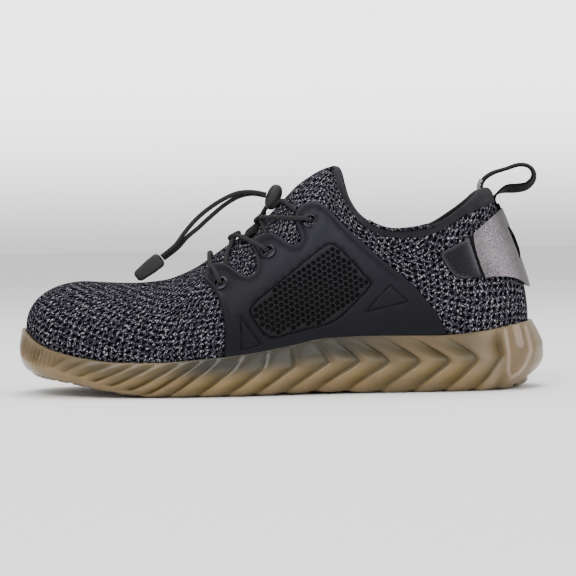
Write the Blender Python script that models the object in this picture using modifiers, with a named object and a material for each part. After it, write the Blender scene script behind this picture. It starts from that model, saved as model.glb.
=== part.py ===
"""Knit safety sneaker, left foot, standing empty on its sole.

Metres, +Z up. The toe points to -X and the outer (lateral) side of the foot to -Y.
The origin is on the floor under the middle of the sole.
"""

import math

import bmesh
import bpy
import numpy as np
from mathutils import Matrix, Vector

# Overall sizes of the shoe
SOLE_LENGTH = 0.300
BALL_WIDTH = 0.108
TOE_BOX_HEIGHT = 0.0637
INSTEP_HEIGHT = 0.1276
COLLAR_DIP_HEIGHT = 0.0911
HEEL_TOP_HEIGHT = 0.1146
COLLAR_WIDTH = 0.064

# Walls, clearances and bands of the upper
UPPER_WALL = 0.0022
GAP = 0.0003
CUFF_WIDTH = 0.0065
CUFF_STEP = 0.0005
CUFF_PADDING = 0.0015
TIP_OFFSET = 0.0054
RIDGE_OFFSET = 0.0045

# Sole
TOE_SPRING = 0.0125
SOLE_EDGE_HEIGHT = 0.0379
SOLE_UNDERCUT = 0.0100
CUP_WALL = 0.0021
FEATHER_TUCK = 0.0015
FOOTBED_HEIGHT = 0.0220
ARCH_LIFT = 0.0022
RIB_DEPTH = 0.0017
TREAD_DEPTH = 0.0024
TREAD_WAVE = 0.0045
RIB_LEAN = 0.0200
RIBS_PER_SIDE = 25
INSOLE_THICKNESS = 0.0040
INSOLE_CLEARANCE = 0.0009

# Overlays
SADDLE_THICKNESS = 0.0017
PANEL_THICKNESS = 0.0008
TAB_THICKNESS = 0.0011
STRAP_THICKNESS = 0.0014
TAPE_THICKNESS = 0.0009
TAPE_WIDTH = 0.0110
TAPE_LOW = 0.0620
TAPE_HIGH = 0.1025
SLOT_LOW = 0.0725
SLOT_HIGH = 0.0910
KEEPER_THICKNESS = 0.0009
KEEPER_WIDTH = 0.0078
KEEPER_REACH_SHARE = 0.84
GROOVE_DEPTH = 0.0006
GROOVE_WIDTH = 0.0009

# Hardware and cords
EYELET_RADIUS = 0.0044
EYELET_BORE = 0.0024
EYELET_HEIGHT = 0.0010
BARREL_RADIUS = 0.0029
LACE_RADIUS = 0.00125
LOCK_LENGTH = 0.0150
LOCK_WIDTH = 0.0088
LOCK_ABOVE_RIDGE = 0.0073
CLIP_LENGTH = 0.0182
CLIP_WIDTH = 0.0088
CLIP_DEPTH = 0.0062
CLIP_ABOVE_RIDGE = 0.0081
CLIP_ASIDE = -0.0022
CLIP_ROUNDING = 0.0014
WEBBING_WIDTH = 0.0090
WEBBING_THICKNESS = 0.0014

LATERAL = -1
MEDIAL = 1
STATIONS = 32
ROWS_ABOVE = 8
HALF_BALL = BALL_WIDTH / 2


def table(columns, rows):
    """Named columns of a short table, the first being what the others are read against."""
    names = columns.split()
    return {name: np.array([row[i] for row in rows], float) for i, name in enumerate(names)}


def read(rows, column, at):
    """Monotone cubic through one column of a table."""
    xs = rows[next(iter(rows))]
    ys = rows[column]
    steps = np.diff(xs)
    slopes = np.diff(ys) / steps
    tangents = np.zeros(len(xs))
    for i in range(1, len(xs) - 1):
        before, after = slopes[i - 1], slopes[i]
        if before * after > 0:
            tangents[i] = 2 * before * after / (before + after)
    tangents[0], tangents[-1] = slopes[0], slopes[-1]
    at = min(max(at, xs[0]), xs[-1])
    i = min(int(np.searchsorted(xs, at, side="right")) - 1, len(xs) - 2)
    t = (at - xs[i]) / steps[i]
    return (
        ys[i] * (1 + 2 * t) * (1 - t) ** 2
        + tangents[i] * steps[i] * t * (1 - t) ** 2
        + ys[i + 1] * t * t * (3 - 2 * t)
        + tangents[i + 1] * steps[i] * t * t * (t - 1)
    )


def smoothstep(low, high, value):
    t = min(max((value - low) / (high - low), 0.0), 1.0)
    return t * t * (3 - 2 * t)


# Plan of the sole: share of the length from the toe, then half widths as shares of half the ball width
OUTLINE = [
    # along, lateral, medial
    (0.030, 0.44, 0.58),
    (0.090, 0.71, 0.83),
    (0.180, 0.90, 0.95),
    (0.280, 0.985, 1.00),
    (0.360, 1.00, 0.96),
    (0.450, 0.965, 0.86),
    (0.560, 0.875, 0.755),
    (0.680, 0.80, 0.70),
    (0.800, 0.77, 0.715),
    (0.900, 0.68, 0.66),
    (0.965, 0.46, 0.47),
]

# Rim of the collar from the front of the throat to the heel: along as a share of the length,
# half as a share of half the collar width, and how far it has risen from the dip to the instep or to the heel's top
COLLAR = [
    # along, half, instep, heel
    (0.610, 0.40, 0.934, 0.0),
    (0.617, 0.66, 0.724, 0.0),
    (0.630, 0.82, 0.486, 0.0),
    (0.655, 0.93, 0.207, 0.0),
    (0.695, 0.99, 0.030, 0.0),
    (0.740, 1.00, 0.0, 0.0),
    (0.790, 0.96, 0.0, 0.114),
    (0.835, 0.85, 0.0, 0.456),
    (0.870, 0.62, 0.0, 0.793),
    (0.886, 0.34, 0.0, 0.951),
]
COLLAR_FRONT_SHARE = 0.606
RIDGE_TURN_SHARE = 0.30
COLLAR_BACK_SHARE = 0.8990

# Middle line of the vamp and throat: height as a share of the instep height above the toe box
RIDGE = table(
    "along rise",
    [
        (0.130, 0.000),
        (0.186, -0.017),
        (0.228, -0.023),
        (0.256, -0.014),
        (0.284, 0.003),
        (0.313, 0.049),
        (0.344, 0.119),
        (0.371, 0.203),
        (0.399, 0.297),
        (0.457, 0.466),
        (0.483, 0.577),
        (0.509, 0.701),
        (0.535, 0.825),
        (0.559, 0.903),
        (0.582, 0.964),
        (0.606, 1.000),
    ],
)

# Where each station of the outline meets the ridge
RIDGE_MATCH = table(
    "around along",
    [(0.00, 0.130), (0.10, 0.146), (0.20, 0.205), (0.30, 0.305), (0.38, 0.412), (0.45, 0.510), (0.52, 0.606)],
)
THROAT_END_SHARE = 0.52

# Bulge of the upper's section: rise and drop are shares of its height, swell and reach of half the ball width
SECTIONS = table(
    "around rise swell reach drop",
    [
        (0.00, 0.58, 0.010, 0.400, 0.00),
        (0.10, 0.60, 0.035, 0.520, 0.00),
        (0.20, 0.60, 0.060, 0.560, 0.00),
        (0.30, 0.52, 0.055, 0.480, 0.00),
        (0.38, 0.44, 0.030, 0.400, 0.01),
        (0.46, 0.38, 0.020, 0.360, 0.03),
        (0.52, 0.36, 0.020, 0.320, 0.06),
        (0.58, 0.34, 0.020, 0.120, 0.24),
        (0.66, 0.33, 0.030, 0.070, 0.30),
        (0.78, 0.34, 0.040, 0.060, 0.32),
        (0.90, 0.35, 0.030, 0.130, 0.34),
        (1.00, 0.35, 0.004, 0.205, 0.35),
    ],
)

# Top edge of the sole's wall, as a share of its height at the heel
SOLE_EDGE = table(
    "around height",
    [
        (0.000, 0.976),
        (0.045, 0.925),
        (0.090, 0.800),
        (0.130, 0.690),
        (0.190, 0.580),
        (0.250, 0.517),
        (0.310, 0.507),
        (0.400, 0.560),
        (0.450, 0.605),
        (0.530, 0.724),
        (0.585, 0.822),
        (0.650, 0.840),
        (0.770, 0.829),
        (0.840, 0.880),
        (0.920, 0.972),
        (1.000, 1.000),
    ],
)

# Underside of the sole: toe spring as a share of its height at the tip, and the same share of it for the heel bevel
GROUND = table(
    "along lift",
    [
        (0.000, 1.00),
        (0.060, 0.76),
        (0.117, 0.54),
        (0.150, 0.37),
        (0.190, 0.20),
        (0.230, 0.07),
        (0.270, 0.00),
        (0.900, 0.00),
        (0.930, 0.05),
        (0.960, 0.20),
        (1.000, 0.60),
    ],
)
ARCH = table("along lift", [(0.43, 0.0), (0.50, 0.55), (0.58, 1.0), (0.64, 0.6), (0.70, 0.0)])

# Top of the footbed inside the cup, as a share of its height at the heel
FOOTBED = table(
    "along height",
    [(0.0, 1.06), (0.1, 0.76), (0.2, 0.57), (0.3, 0.50), (0.4, 0.52), (0.5, 0.68), (0.6, 0.86), (0.7, 0.95), (1.0, 1.0)],
)

# Side of the sole from its bottom edge up: how far it lies inside the outline, as a share of the undercut
SOLE_SIDE = table(
    "level toe heel",
    [
        (0.00, 0.72, 0.90),
        (0.12, 0.30, 0.33),
        (0.33, 0.08, 0.00),
        (0.56, 0.00, 0.02),
        (0.78, 0.06, 0.28),
        (1.00, 0.16, 0.63),
    ],
)
HEEL_BLEND = table("around share", [(0.0, 0.0), (0.12, 0.35), (0.80, 0.50), (1.0, 1.0)])

# Where the foot of each rib stands, counted from the toe, as a share of the way round one side
RIB_FEET = table("rib around", [(0, 0.0), (4, 0.125), (14, 0.472), (22, 0.868), (25, 1.0)])

# Slant of the ribs: how far a rib runs back from its foot to its knee, and from its knee to the top edge
RIB_SLANT = table(
    "around lower upper depth",
    [
        (0.00, 0.00, 0.00, 0.20),
        (0.07, 0.00, 0.00, 0.35),
        (0.13, 0.35, 0.30, 0.60),
        (0.22, 0.70, 0.60, 0.95),
        (0.36, 0.75, 0.50, 1.00),
        (0.58, 1.00, -0.80, 1.00),
        (0.70, 1.00, -0.95, 1.00),
        (0.82, 0.75, -0.50, 0.95),
        (0.91, 0.35, -0.12, 0.80),
        (1.00, 0.00, 0.00, 0.15),
    ],
)
RIB_KNEE_SHARE = 0.56
RIB_WAVE = [1.0, 0.0, 0.4]
RIB_FADE = table("level depth", [(0.0, 0.5), (0.26, 1.0), (0.71, 1.0), (0.86, 0.6), (1.0, 0.0)])

# Side outlines, as (along, height): shares of the sole length and of the instep height.
# Each ends in a word: a corner is kept sharp, and a bend is rounded by the curve through it.
SADDLE_SHAPE = [
    (0.395, -0.10, "corner"),
    (0.398, 0.274, "bend"),
    (0.392, 0.388, "bend"),
    (0.377, 0.462, "bend"),
    (0.361, 0.500, "bend"),
    (0.364, 0.540, "bend"),
    (0.380, 0.564, "bend"),
    (0.398, 0.568, "bend"),
    (0.418, 0.543, "bend"),
    (0.438, 0.516, "bend"),
    (0.450, 0.520, "bend"),
    (0.458, 0.548, "bend"),
    (0.456, 0.604, "bend"),
    (0.452, 0.660, "bend"),
    (0.470, 0.691, "bend"),
    (0.491, 0.697, "bend"),
    (0.507, 0.676, "bend"),
    (0.522, 0.652, "bend"),
    (0.534, 0.651, "bend"),
    (0.540, 0.672, "bend"),
    (0.537, 0.705, "bend"),
    (0.531, 0.750, "bend"),
    (0.532, 0.785, "bend"),
    (0.544, 0.818, "bend"),
    (0.563, 0.834, "bend"),
    (0.581, 0.824, "bend"),
    (0.598, 0.792, "bend"),
    (0.631, 0.711, "bend"),
    (0.665, 0.637, "bend"),
    (0.699, 0.564, "bend"),
    (0.733, 0.499, "bend"),
    (0.763, 0.425, "bend"),
    (0.790, 0.343, "bend"),
    (0.810, 0.255, "corner"),
    (0.830, -0.10, "corner"),
]
WINDOW_SHAPE = [
    (0.446, 0.364, "bend"),
    (0.449, 0.388, "bend"),
    (0.510, 0.505, "bend"),
    (0.584, 0.640, "bend"),
    (0.596, 0.650, "bend"),
    (0.606, 0.640, "bend"),
    (0.664, 0.492, "bend"),
    (0.668, 0.476, "bend"),
    (0.663, 0.458, "bend"),
    (0.634, 0.388, "bend"),
    (0.598, 0.318, "bend"),
    (0.540, 0.282, "bend"),
    (0.489, 0.254, "bend"),
    (0.477, 0.258, "bend"),
]
FRONT_TRIANGLE = [(0.428, 0.344), (0.428, 0.203), (0.464, 0.223)]
REAR_TRIANGLE = [(0.704, 0.470), (0.736, 0.397), (0.655, 0.353)]
STRAP_SHAPE = [
    (0.855, 0.674, "corner"),
    (0.868, 0.702, "bend"),
    (0.884, 0.733, "bend"),
    (0.903, 0.769, "bend"),
    (0.925, 0.802, "bend"),
    (0.980, 0.850, "corner"),
    (1.050, 0.430, "corner"),
    (0.985, 0.446, "corner"),
    (0.955, 0.478, "bend"),
    (0.937, 0.496, "bend"),
    (0.918, 0.503, "bend"),
    (0.900, 0.502, "bend"),
    (0.877, 0.495, "corner"),
    (0.862, 0.589, "bend"),
]
TAB_SHAPE = [
    (0.866, 0.682, "corner"),
    (0.843, 0.656, "bend"),
    (0.818, 0.627, "bend"),
    (0.801, 0.606, "bend"),
    (0.799, 0.592, "bend"),
    (0.803, 0.575, "bend"),
    (0.811, 0.541, "bend"),
    (0.822, 0.509, "bend"),
    (0.836, 0.494, "bend"),
    (0.858, 0.492, "bend"),
    (0.886, 0.498, "corner"),
    (0.882, 0.560, "corner"),
]
EYELETS = [(0.394, 0.491), (0.481, 0.627), (0.560, 0.761)]
KEEPER_PLACE_SHARE = 0.4275

# Lacing: places (along, height) that a strand passes from its eyelet, where it crosses the ridge, and its far end
BAR_ROUTE = [(0.3850, 0.532), (0.3740, 0.556)]
BAR_RIDGE_SHARE = 0.3617
CROSSINGS = [
    # name, eyelet, over, ridge, under
    ("lace_cross_low", EYELETS[1], [(0.4573, 0.644), (0.4407, 0.659), (0.4240, 0.668)], 0.404, [(0.4007, 0.592)]),
    ("lace_cross_top", EYELETS[2], [(0.5300, 0.755), (0.4940, 0.754), (0.4680, 0.745)], 0.4500, [(0.4735, 0.716)]),
]
TOP_ROUTE = [(0.5220, 0.815), (0.5170, 0.823), (0.5110, 0.829)]

# Cord from the lock to the end clip, over the vamp: the two strands, as (along, height, aside)
TAIL_UPPER = [
    (0.4768, 0.8742, -0.015),
    (0.452, 0.886, -0.016),
    (0.423, 0.883, -0.018),
    (0.394, 0.855, -0.020),
    (0.365, 0.812, -0.023),
    (0.340, 0.762, -0.026),
    (0.320, 0.708, -0.028),
    (0.303, 0.655, -0.032),
    (0.2762, 0.6040, -0.034),
]
TAIL_LOWER = [
    (0.4758, 0.8690, 0.013),
    (0.4500, 0.8790, 0.012),
    (0.425, 0.868, 0.010),
    (0.398, 0.833, 0.006),
    (0.370, 0.780, 0.000),
    (0.345, 0.728, -0.004),
    (0.325, 0.690, -0.006),
    (0.306, 0.642, -0.007),
    (0.2790, 0.5945, -0.007),
]
LOCK_ALONG_SHARE = 0.4905
LOCK_TILT = 22.0
CLIP_ALONG_SHARE = 0.2515
CLIP_TILT = 37.0
CLIP_NARROW_SHARE = 0.8

# Pull loop in the middle plane: (along, height, twist in degrees of the webbing's face)
TWIST_SCALE = 0.001  # keeps a radian of twist small beside the lengths that space the curve
PULL_LOOP = [
    (0.8940, 0.800, 0),
    (0.8845, 0.838, 0),
    (0.8770, 0.876, 2),
    (0.8780, 0.906, 5),
    (0.8855, 0.929, 7),
    (0.8957, 0.944, 8),
    (0.9093, 0.958, 8),
    (0.9333, 0.973, 7),
    (0.9577, 0.990, 9),
    (0.9757, 0.984, 13),
    (0.9853, 0.959, 18),
    (0.9853, 0.927, 22),
    (0.9723, 0.895, 27),
    (0.9530, 0.886, 30),
    (0.9340, 0.886, 27),
    (0.9225, 0.877, 14),
    (0.9160, 0.862, 3),
    (0.9145, 0.845, 0),
    (0.9190, 0.824, 0),
]

COLOURS = {
    # name: colour, roughness, metallic
    "knit": ((0.045, 0.043, 0.055), 0.9, 0.0),
    "cuff": ((0.020, 0.020, 0.022), 0.85, 0.0),
    "gum_rubber": ((0.33, 0.24, 0.14), 0.35, 0.0),
    "footbed": ((0.03, 0.03, 0.032), 0.9, 0.0),
    "moulded_overlay": ((0.040, 0.038, 0.048), 0.55, 0.0),
    "leather": ((0.16, 0.145, 0.155), 0.45, 0.0),
    "leather_tab": ((0.03, 0.028, 0.034), 0.4, 0.0),
    "webbing": ((0.014, 0.014, 0.015), 0.8, 0.0),
    "cord": ((0.030, 0.030, 0.030), 0.7, 0.0),
    "eyelet_metal": ((0.05, 0.05, 0.055), 0.3, 0.8),
    "hard_plastic": ((0.030, 0.030, 0.032), 0.45, 0.0),
}


def clear_scene():
    for obj in list(bpy.data.objects):
        bpy.data.objects.remove(obj, do_unlink=True)


def collection(name):
    made = bpy.data.collections.new(name)
    bpy.context.scene.collection.children.link(made)
    return made


def material(name):
    found = bpy.data.materials.get(name)
    if found:
        return found
    colour, roughness, metallic = COLOURS[name]
    made = bpy.data.materials.new(name)
    made.use_nodes = True
    shader = made.node_tree.nodes["Principled BSDF"]
    shader.inputs["Base Color"].default_value = (*colour, 1.0)
    shader.inputs["Roughness"].default_value = roughness
    shader.inputs["Metallic"].default_value = metallic
    made.diffuse_color = (*colour, 1.0)
    return made


# Curves in the plane and in space


def curve_through(points, closed, per_span=12):
    """Dense points of a smooth curve through a few chosen ones."""
    spots = np.array(points, float)
    count = len(spots)
    spans = count if closed else count - 1
    lengths = [max(np.linalg.norm(spots[(i + 1) % count] - spots[i]), 1e-9) ** 0.5 for i in range(spans)]
    tangents = []
    for i in range(count):
        if closed or 0 < i < count - 1:
            back, ahead = lengths[i - 1], lengths[i % spans]
            behind = (spots[i] - spots[i - 1]) / back
            forward = (spots[(i + 1) % count] - spots[i]) / ahead
            tangents.append((behind * ahead + forward * back) / (back + ahead))
        elif i == 0:
            tangents.append((spots[1] - spots[0]) / lengths[0])
        else:
            tangents.append((spots[i] - spots[i - 1]) / lengths[-1])
    dense = []
    for i in range(spans):
        start, end = spots[i], spots[(i + 1) % count]
        leave, arrive = tangents[i] * lengths[i], tangents[(i + 1) % count] * lengths[i]
        for t in np.arange(per_span) / per_span:
            dense.append(
                start * (1 + 2 * t) * (1 - t) ** 2
                + leave * t * (1 - t) ** 2
                + end * t * t * (3 - 2 * t)
                + arrive * t * t * (t - 1)
            )
    if not closed:
        dense.append(spots[-1])
    return np.array(dense)


def lengths_along(curve):
    return np.concatenate([[0.0], np.cumsum(np.linalg.norm(np.diff(curve, axis=0), axis=1))])


def point_on(curve, run, share):
    wanted = share * run[-1]
    return np.array([np.interp(wanted, run, curve[:, axis]) for axis in range(curve.shape[1])])


def at_share(curve, share):
    """Point of a dense curve at a share of its length."""
    return point_on(curve, lengths_along(curve), share)


def resample(curve, count):
    return np.array([at_share(curve, i / (count - 1)) for i in range(count)])


def both_sides(front, rows, back):
    """Closed loop through a front point, lateral rows, a back point and medial rows, cut into its two sides."""
    lateral = [(x, -low, *rest) for x, low, _, *rest in rows]
    medial = [(x, high, *rest) for x, _, high, *rest in rows]
    per_span = 24
    loop = curve_through([front, *lateral, back, *reversed(medial)], True, per_span)
    turn = (len(rows) + 1) * per_span
    closed = np.vstack([loop, loop[:1]])
    return {LATERAL: closed[: turn + 1], MEDIAL: closed[turn:][::-1]}


def plan_x(along):
    return (along - 0.5) * SOLE_LENGTH


def share_x(x):
    return x / SOLE_LENGTH + 0.5


def sole_plan():
    rows = [(plan_x(a), low * HALF_BALL, high * HALF_BALL) for a, low, high in OUTLINE]
    sides = both_sides((plan_x(0.0), TIP_OFFSET), rows, (plan_x(1.0), 0.0))
    middle = (sides[MEDIAL][:, 1].max() + sides[LATERAL][:, 1].min()) / 2
    for side in sides.values():
        side[:, 1] -= middle
    return sides


def collar_rim():
    half = COLLAR_WIDTH / 2
    rows = []
    for along, width, instep, heel in COLLAR:
        rise = instep * (INSTEP_HEIGHT - COLLAR_DIP_HEIGHT) + heel * (HEEL_TOP_HEIGHT - COLLAR_DIP_HEIGHT)
        rows.append((plan_x(along), width * half, width * half, COLLAR_DIP_HEIGHT + rise))
    front = (plan_x(COLLAR_FRONT_SHARE), 0.0, INSTEP_HEIGHT)
    back = (plan_x(COLLAR_BACK_SHARE), 0.0, HEEL_TOP_HEIGHT)
    return both_sides(front, rows, back)


PLAN = sole_plan()
RIM = collar_rim()
PLAN_RUN = {side: lengths_along(curve) for side, curve in PLAN.items()}
RIM_RUN = {side: lengths_along(curve) for side, curve in RIM.items()}


def outline(side, around):
    """Point and outward normal of the sole's plan, at a share of the way from the toe to the heel."""
    if around < 0:
        side, around = -side, -around
    if around > 1:
        side, around = -side, 2 - around
    step = 0.004
    here = point_on(PLAN[side], PLAN_RUN[side], around)
    if around <= 0 or around >= 1:
        return here, np.array([-1.0 if around <= 0 else 1.0, 0.0])
    ahead = point_on(PLAN[side], PLAN_RUN[side], min(around + step, 1.0))
    behind = point_on(PLAN[side], PLAN_RUN[side], max(around - step, 0.0))
    tangent = ahead - behind
    normal = np.array([tangent[1], -tangent[0]]) * (1 if side == LATERAL else -1)
    return here, normal / np.linalg.norm(normal)


def edge_height(around):
    return SOLE_EDGE_HEIGHT * read(SOLE_EDGE, "height", around)


def footbed_height(x):
    return FOOTBED_HEIGHT * read(FOOTBED, "height", share_x(x))


def ground_height(x, side):
    along = share_x(x)
    arch = ARCH_LIFT * read(ARCH, "lift", along) * (1.0 if side == MEDIAL else 0.6)
    inside = ARCH["along"][0] < along < ARCH["along"][-1]
    return TOE_SPRING * read(GROUND, "lift", along) + (arch if inside else 0.0)


def side_inset(level, around):
    heel = read(HEEL_BLEND, "share", around)
    toe_part = read(SOLE_SIDE, "toe", level) * (1 - heel)
    return SOLE_UNDERCUT * (toe_part + read(SOLE_SIDE, "heel", level) * heel)


# The upper's own surface


def ridge_point(around):
    along = read(RIDGE_MATCH, "along", around)
    height = TOE_BOX_HEIGHT + read(RIDGE, "rise", along) * (INSTEP_HEIGHT - TOE_BOX_HEIGHT)
    aside = RIDGE_OFFSET * (1 - smoothstep(RIDGE_TURN_SHARE, COLLAR_FRONT_SHARE, along))
    return np.array([plan_x(along), aside, height])


def station(side, around):
    """Feather line, sole line, the two handles and the crown of one section of the upper."""
    spot, normal = outline(side, around)
    inset = side_inset(1.0, around) + CUP_WALL + GAP
    line = np.array([*(spot - normal * inset), edge_height(around)])
    foot = spot - normal * (inset + FEATHER_TUCK)
    feather = np.array([*foot, footbed_height(foot[0]) + GAP])
    if around <= THROAT_END_SHARE:
        crown = ridge_point(around)
    else:
        crown = point_on(RIM[side], RIM_RUN[side], (around - THROAT_END_SHARE) / (1 - THROAT_END_SHARE))
    sideways = smoothstep(0.0, 0.30, around) * (1 - smoothstep(0.72, 1.0, around))
    out = normal * (1 - sideways) + np.array([0.0, side]) * sideways
    out = out / np.linalg.norm(out)
    height = crown[2] - line[2]
    rise = read(SECTIONS, "rise", around) * height
    drop = read(SECTIONS, "drop", around) * height
    swell = read(SECTIONS, "swell", around) * HALF_BALL
    reach = read(SECTIONS, "reach", around) * HALF_BALL
    low = line + np.array([*(normal * swell), rise])
    high = crown + np.array([*(out * reach), -drop])
    return feather, line, low, high, crown


def surface_grid():
    """Points of the upper's outer surface and their outward normals, around the foot and up each section."""
    ring = [(LATERAL, i / STATIONS) for i in range(STATIONS + 1)]
    ring += [(MEDIAL, i / STATIONS) for i in range(STATIONS - 1, 0, -1)]
    points = np.zeros((len(ring), ROWS_ABOVE + 2, 3))
    for k, (side, around) in enumerate(ring):
        feather, line, low, high, crown = station(side, around)
        points[k, 0] = feather
        for row in range(ROWS_ABOVE + 1):
            t = row / ROWS_ABOVE
            points[k, row + 1] = (
                line * (1 - t) ** 3 + low * 3 * t * (1 - t) ** 2 + high * 3 * t * t * (1 - t) + crown * t**3
            )
    count = len(ring)
    last = ROWS_ABOVE + 1
    normals = np.zeros_like(points)
    for k in range(count):
        mirror = (count - k) % count
        on_ridge = min(k, count - k) / STATIONS <= THROAT_END_SHARE
        for row in range(last + 1):
            around_step = points[(k + 1) % count, row] - points[k - 1, row]
            below = points[k, max(row - 1, 0)]
            above = points[k, row + 1] if row < last else points[k, row]
            if row == last and on_ridge:
                above = points[mirror, last - 1] if mirror != k else points[k, last] + np.array([0.01, 0, 0])
            across = np.cross(around_step, above - below)
            normals[k, row] = across / max(np.linalg.norm(across), 1e-12)
    for k in range(1, STATIONS):
        mirror = count - k
        if k / STATIONS <= THROAT_END_SHARE:
            shared = normals[k, last] + normals[mirror, last]
            normals[k, last] = normals[mirror, last] = shared / np.linalg.norm(shared)
    return points, normals


POINTS, NORMALS = surface_grid()
RING = len(POINTS)
LAST = POINTS.shape[1] - 1


def surface(side, around, height, offset=0.0):
    """Point at a share around and up the upper (0 at the sole's edge, 1 at the crown), lifted off it."""
    k = around * STATIONS
    low = min(int(k), STATIONS - 1)
    part = k - low
    row = 1 + height * ROWS_ABOVE
    step = min(int(row), LAST - 1)
    up = row - step
    found = np.zeros(3)
    for index, weight in ((low, 1 - part), (low + 1, part)):
        ring = index if side == LATERAL else (RING - index) % RING
        for level, share in ((step, 1 - up), (step + 1, up)):
            found += weight * share * (POINTS[ring, level] + NORMALS[ring, level] * offset)
    return found


def surface_normal(side, around, height):
    lift = surface(side, around, height, 0.001) - surface(side, around, height)
    return lift / np.linalg.norm(lift)


def locate(side, along, share):
    """Share around and up of the point of the upper that the side view shows at (along, height)."""
    target = np.array([plan_x(along), share * INSTEP_HEIGHT])
    best = min(
        ((a / 60, h / 30) for a in range(61) for h in range(31)),
        key=lambda g: np.linalg.norm(surface(side, *g)[[0, 2]] - target),
    )
    around, height = best
    step = 1e-3
    for _ in range(12):
        here = surface(side, around, height)[[0, 2]]
        side_step = min(around + step, 1.0)
        jacobian = np.column_stack(
            [
                (surface(side, side_step, height)[[0, 2]] - here) / (side_step - around + 1e-12),
                (surface(side, around, height + step)[[0, 2]] - here) / step,
            ]
        )
        move = np.linalg.lstsq(jacobian, target - here, rcond=None)[0]
        around = float(np.clip(around + np.clip(move[0], -0.05, 0.05), 0.0, 0.995))
        height = float(np.clip(height + np.clip(move[1], -0.1, 0.1), 0.0, 0.995))
    return around, height


# Mesh helpers


def link(name, mesh, group, finish=None):
    obj = bpy.data.objects.new(name, mesh)
    group.objects.link(obj)
    if finish:
        mesh.materials.clear()
        mesh.materials.append(material(finish))
    return obj


def mesh_from(name, vertices, faces, weld=1e-6):
    mesh = bpy.data.meshes.new(name)
    mesh.from_pydata([tuple(v) for v in vertices], [], faces)
    work = bmesh.new()
    work.from_mesh(mesh)
    bmesh.ops.remove_doubles(work, verts=work.verts, dist=weld)
    bmesh.ops.dissolve_degenerate(work, edges=work.edges, dist=weld)
    bmesh.ops.triangulate(work, faces=[f for f in work.faces if len(f.verts) > 4])
    bmesh.ops.recalc_face_normals(work, faces=work.faces)
    work.to_mesh(mesh)
    work.free()
    return mesh


def baked(obj, group, name, finish=None):
    """The evaluated shape of an object as a plain mesh object of its own; the source object is removed."""
    bpy.context.view_layer.update()
    source = obj.evaluated_get(bpy.context.evaluated_depsgraph_get())
    mesh = bpy.data.meshes.new_from_object(source)
    mesh.transform(obj.matrix_world)
    work = bmesh.new()
    work.from_mesh(mesh)
    bmesh.ops.remove_doubles(work, verts=work.verts, dist=1e-6)
    work.to_mesh(mesh)
    work.free()
    bpy.data.objects.remove(obj, do_unlink=True)
    mesh.name = name
    return link(name, mesh, group, finish)


def boolean(obj, cutter, operation):
    change = obj.modifiers.new(operation.lower(), "BOOLEAN")
    change.operation = operation
    change.object = cutter
    change.solver = "EXACT"
    return change


def as_cutter(obj):
    obj.hide_render = True
    obj.display_type = "WIRE"
    return obj


def side_outline(shape, per_span=2):
    """Points (x, z) of a closed outline given as shares, with its corners sharp and its bends rounded."""
    spots = [(plan_x(a), h * INSTEP_HEIGHT) for a, h, _ in shape]
    corners = [i for i, row in enumerate(shape) if row[2] == "corner"]
    if not corners:
        return curve_through(spots, True, per_span)
    points = []
    for n, start in enumerate(corners):
        end = corners[(n + 1) % len(corners)]
        count = (end - start) % len(spots) or len(spots)
        run = [spots[(start + i) % len(spots)] for i in range(count + 1)]
        points.extend(curve_through(run, False, per_span if count > 1 else 1)[:-1])
    return np.array(points)


def prism(name, outline_points, low_y, high_y, group):
    """Closed solid of a side outline, run across the shoe from one Y to another."""
    curve = bpy.data.curves.new(name, "CURVE")
    curve.dimensions = "2D"
    curve.fill_mode = "BOTH"
    curve.extrude = (high_y - low_y) / 2
    line = curve.splines.new("POLY")
    line.points.add(len(outline_points) - 1)
    for spot, (x, z) in zip(line.points, outline_points):
        spot.co = (x, z, 0.0, 1.0)
    line.use_cyclic_u = True
    obj = bpy.data.objects.new(name, curve)
    obj.rotation_euler = (math.radians(90), 0.0, 0.0)
    obj.location = (0.0, (low_y + high_y) / 2, 0.0)
    group.objects.link(obj)
    return as_cutter(baked(obj, group, name))


def patch(name, ring_range, rows, offset, thickness, group, finish=None):
    """Slab that follows the upper: an open sheet at an offset, thickened away from the foot."""
    first, last = ring_range
    low, high = rows
    vertices, faces = [], []
    height = high - low + 1
    for k in range(first, last + 1):
        for row in range(low, high + 1):
            vertices.append(POINTS[k % RING, row] + NORMALS[k % RING, row] * offset)
    for i in range(last - first):
        for j in range(high - low):
            a = i * height + j
            b = a + height
            faces.append((a, a + 1, b + 1))
            faces.append((a, b + 1, b))
    mesh = mesh_from(name, vertices, faces)
    obj = link(name, mesh, group, finish)
    outward = Vector(NORMALS[first % RING, low])
    if mesh.polygons[0].normal.dot(outward) < 0:
        mesh.flip_normals()
    shell = obj.modifiers.new("wall", "SOLIDIFY")
    shell.thickness = thickness
    shell.offset = 1.0
    return obj


def sole_top_limit(name, group):
    """Solid below the sole's top edge plus a gap, wide enough to trim what stands on that edge."""
    top, bottom = [], []
    for k in range(RING):
        edge = POINTS[k, 1] + np.array([0, 0, GAP])
        out = NORMALS[k, 1].copy()
        out[2] = 0.0
        out = out / np.linalg.norm(out)
        inner = edge - out * SOLE_UNDERCUT * 0.6
        outer = edge + out * SOLE_UNDERCUT * 1.2
        deep = np.array([0, 0, SOLE_EDGE_HEIGHT * 0.8])
        top.append((inner, outer))
        bottom.append((inner - deep, outer - deep))
    vertices, faces = [], []
    for k in range(RING):
        vertices.extend([top[k][0], top[k][1], bottom[k][1], bottom[k][0]])
    for k in range(RING):
        a, b = 4 * k, 4 * ((k + 1) % RING)
        for i in range(4):
            j = (i + 1) % 4
            faces.append((a + i, a + j, b + j, b + i))
    return as_cutter(link(name, mesh_from(name, vertices, faces), group))


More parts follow.
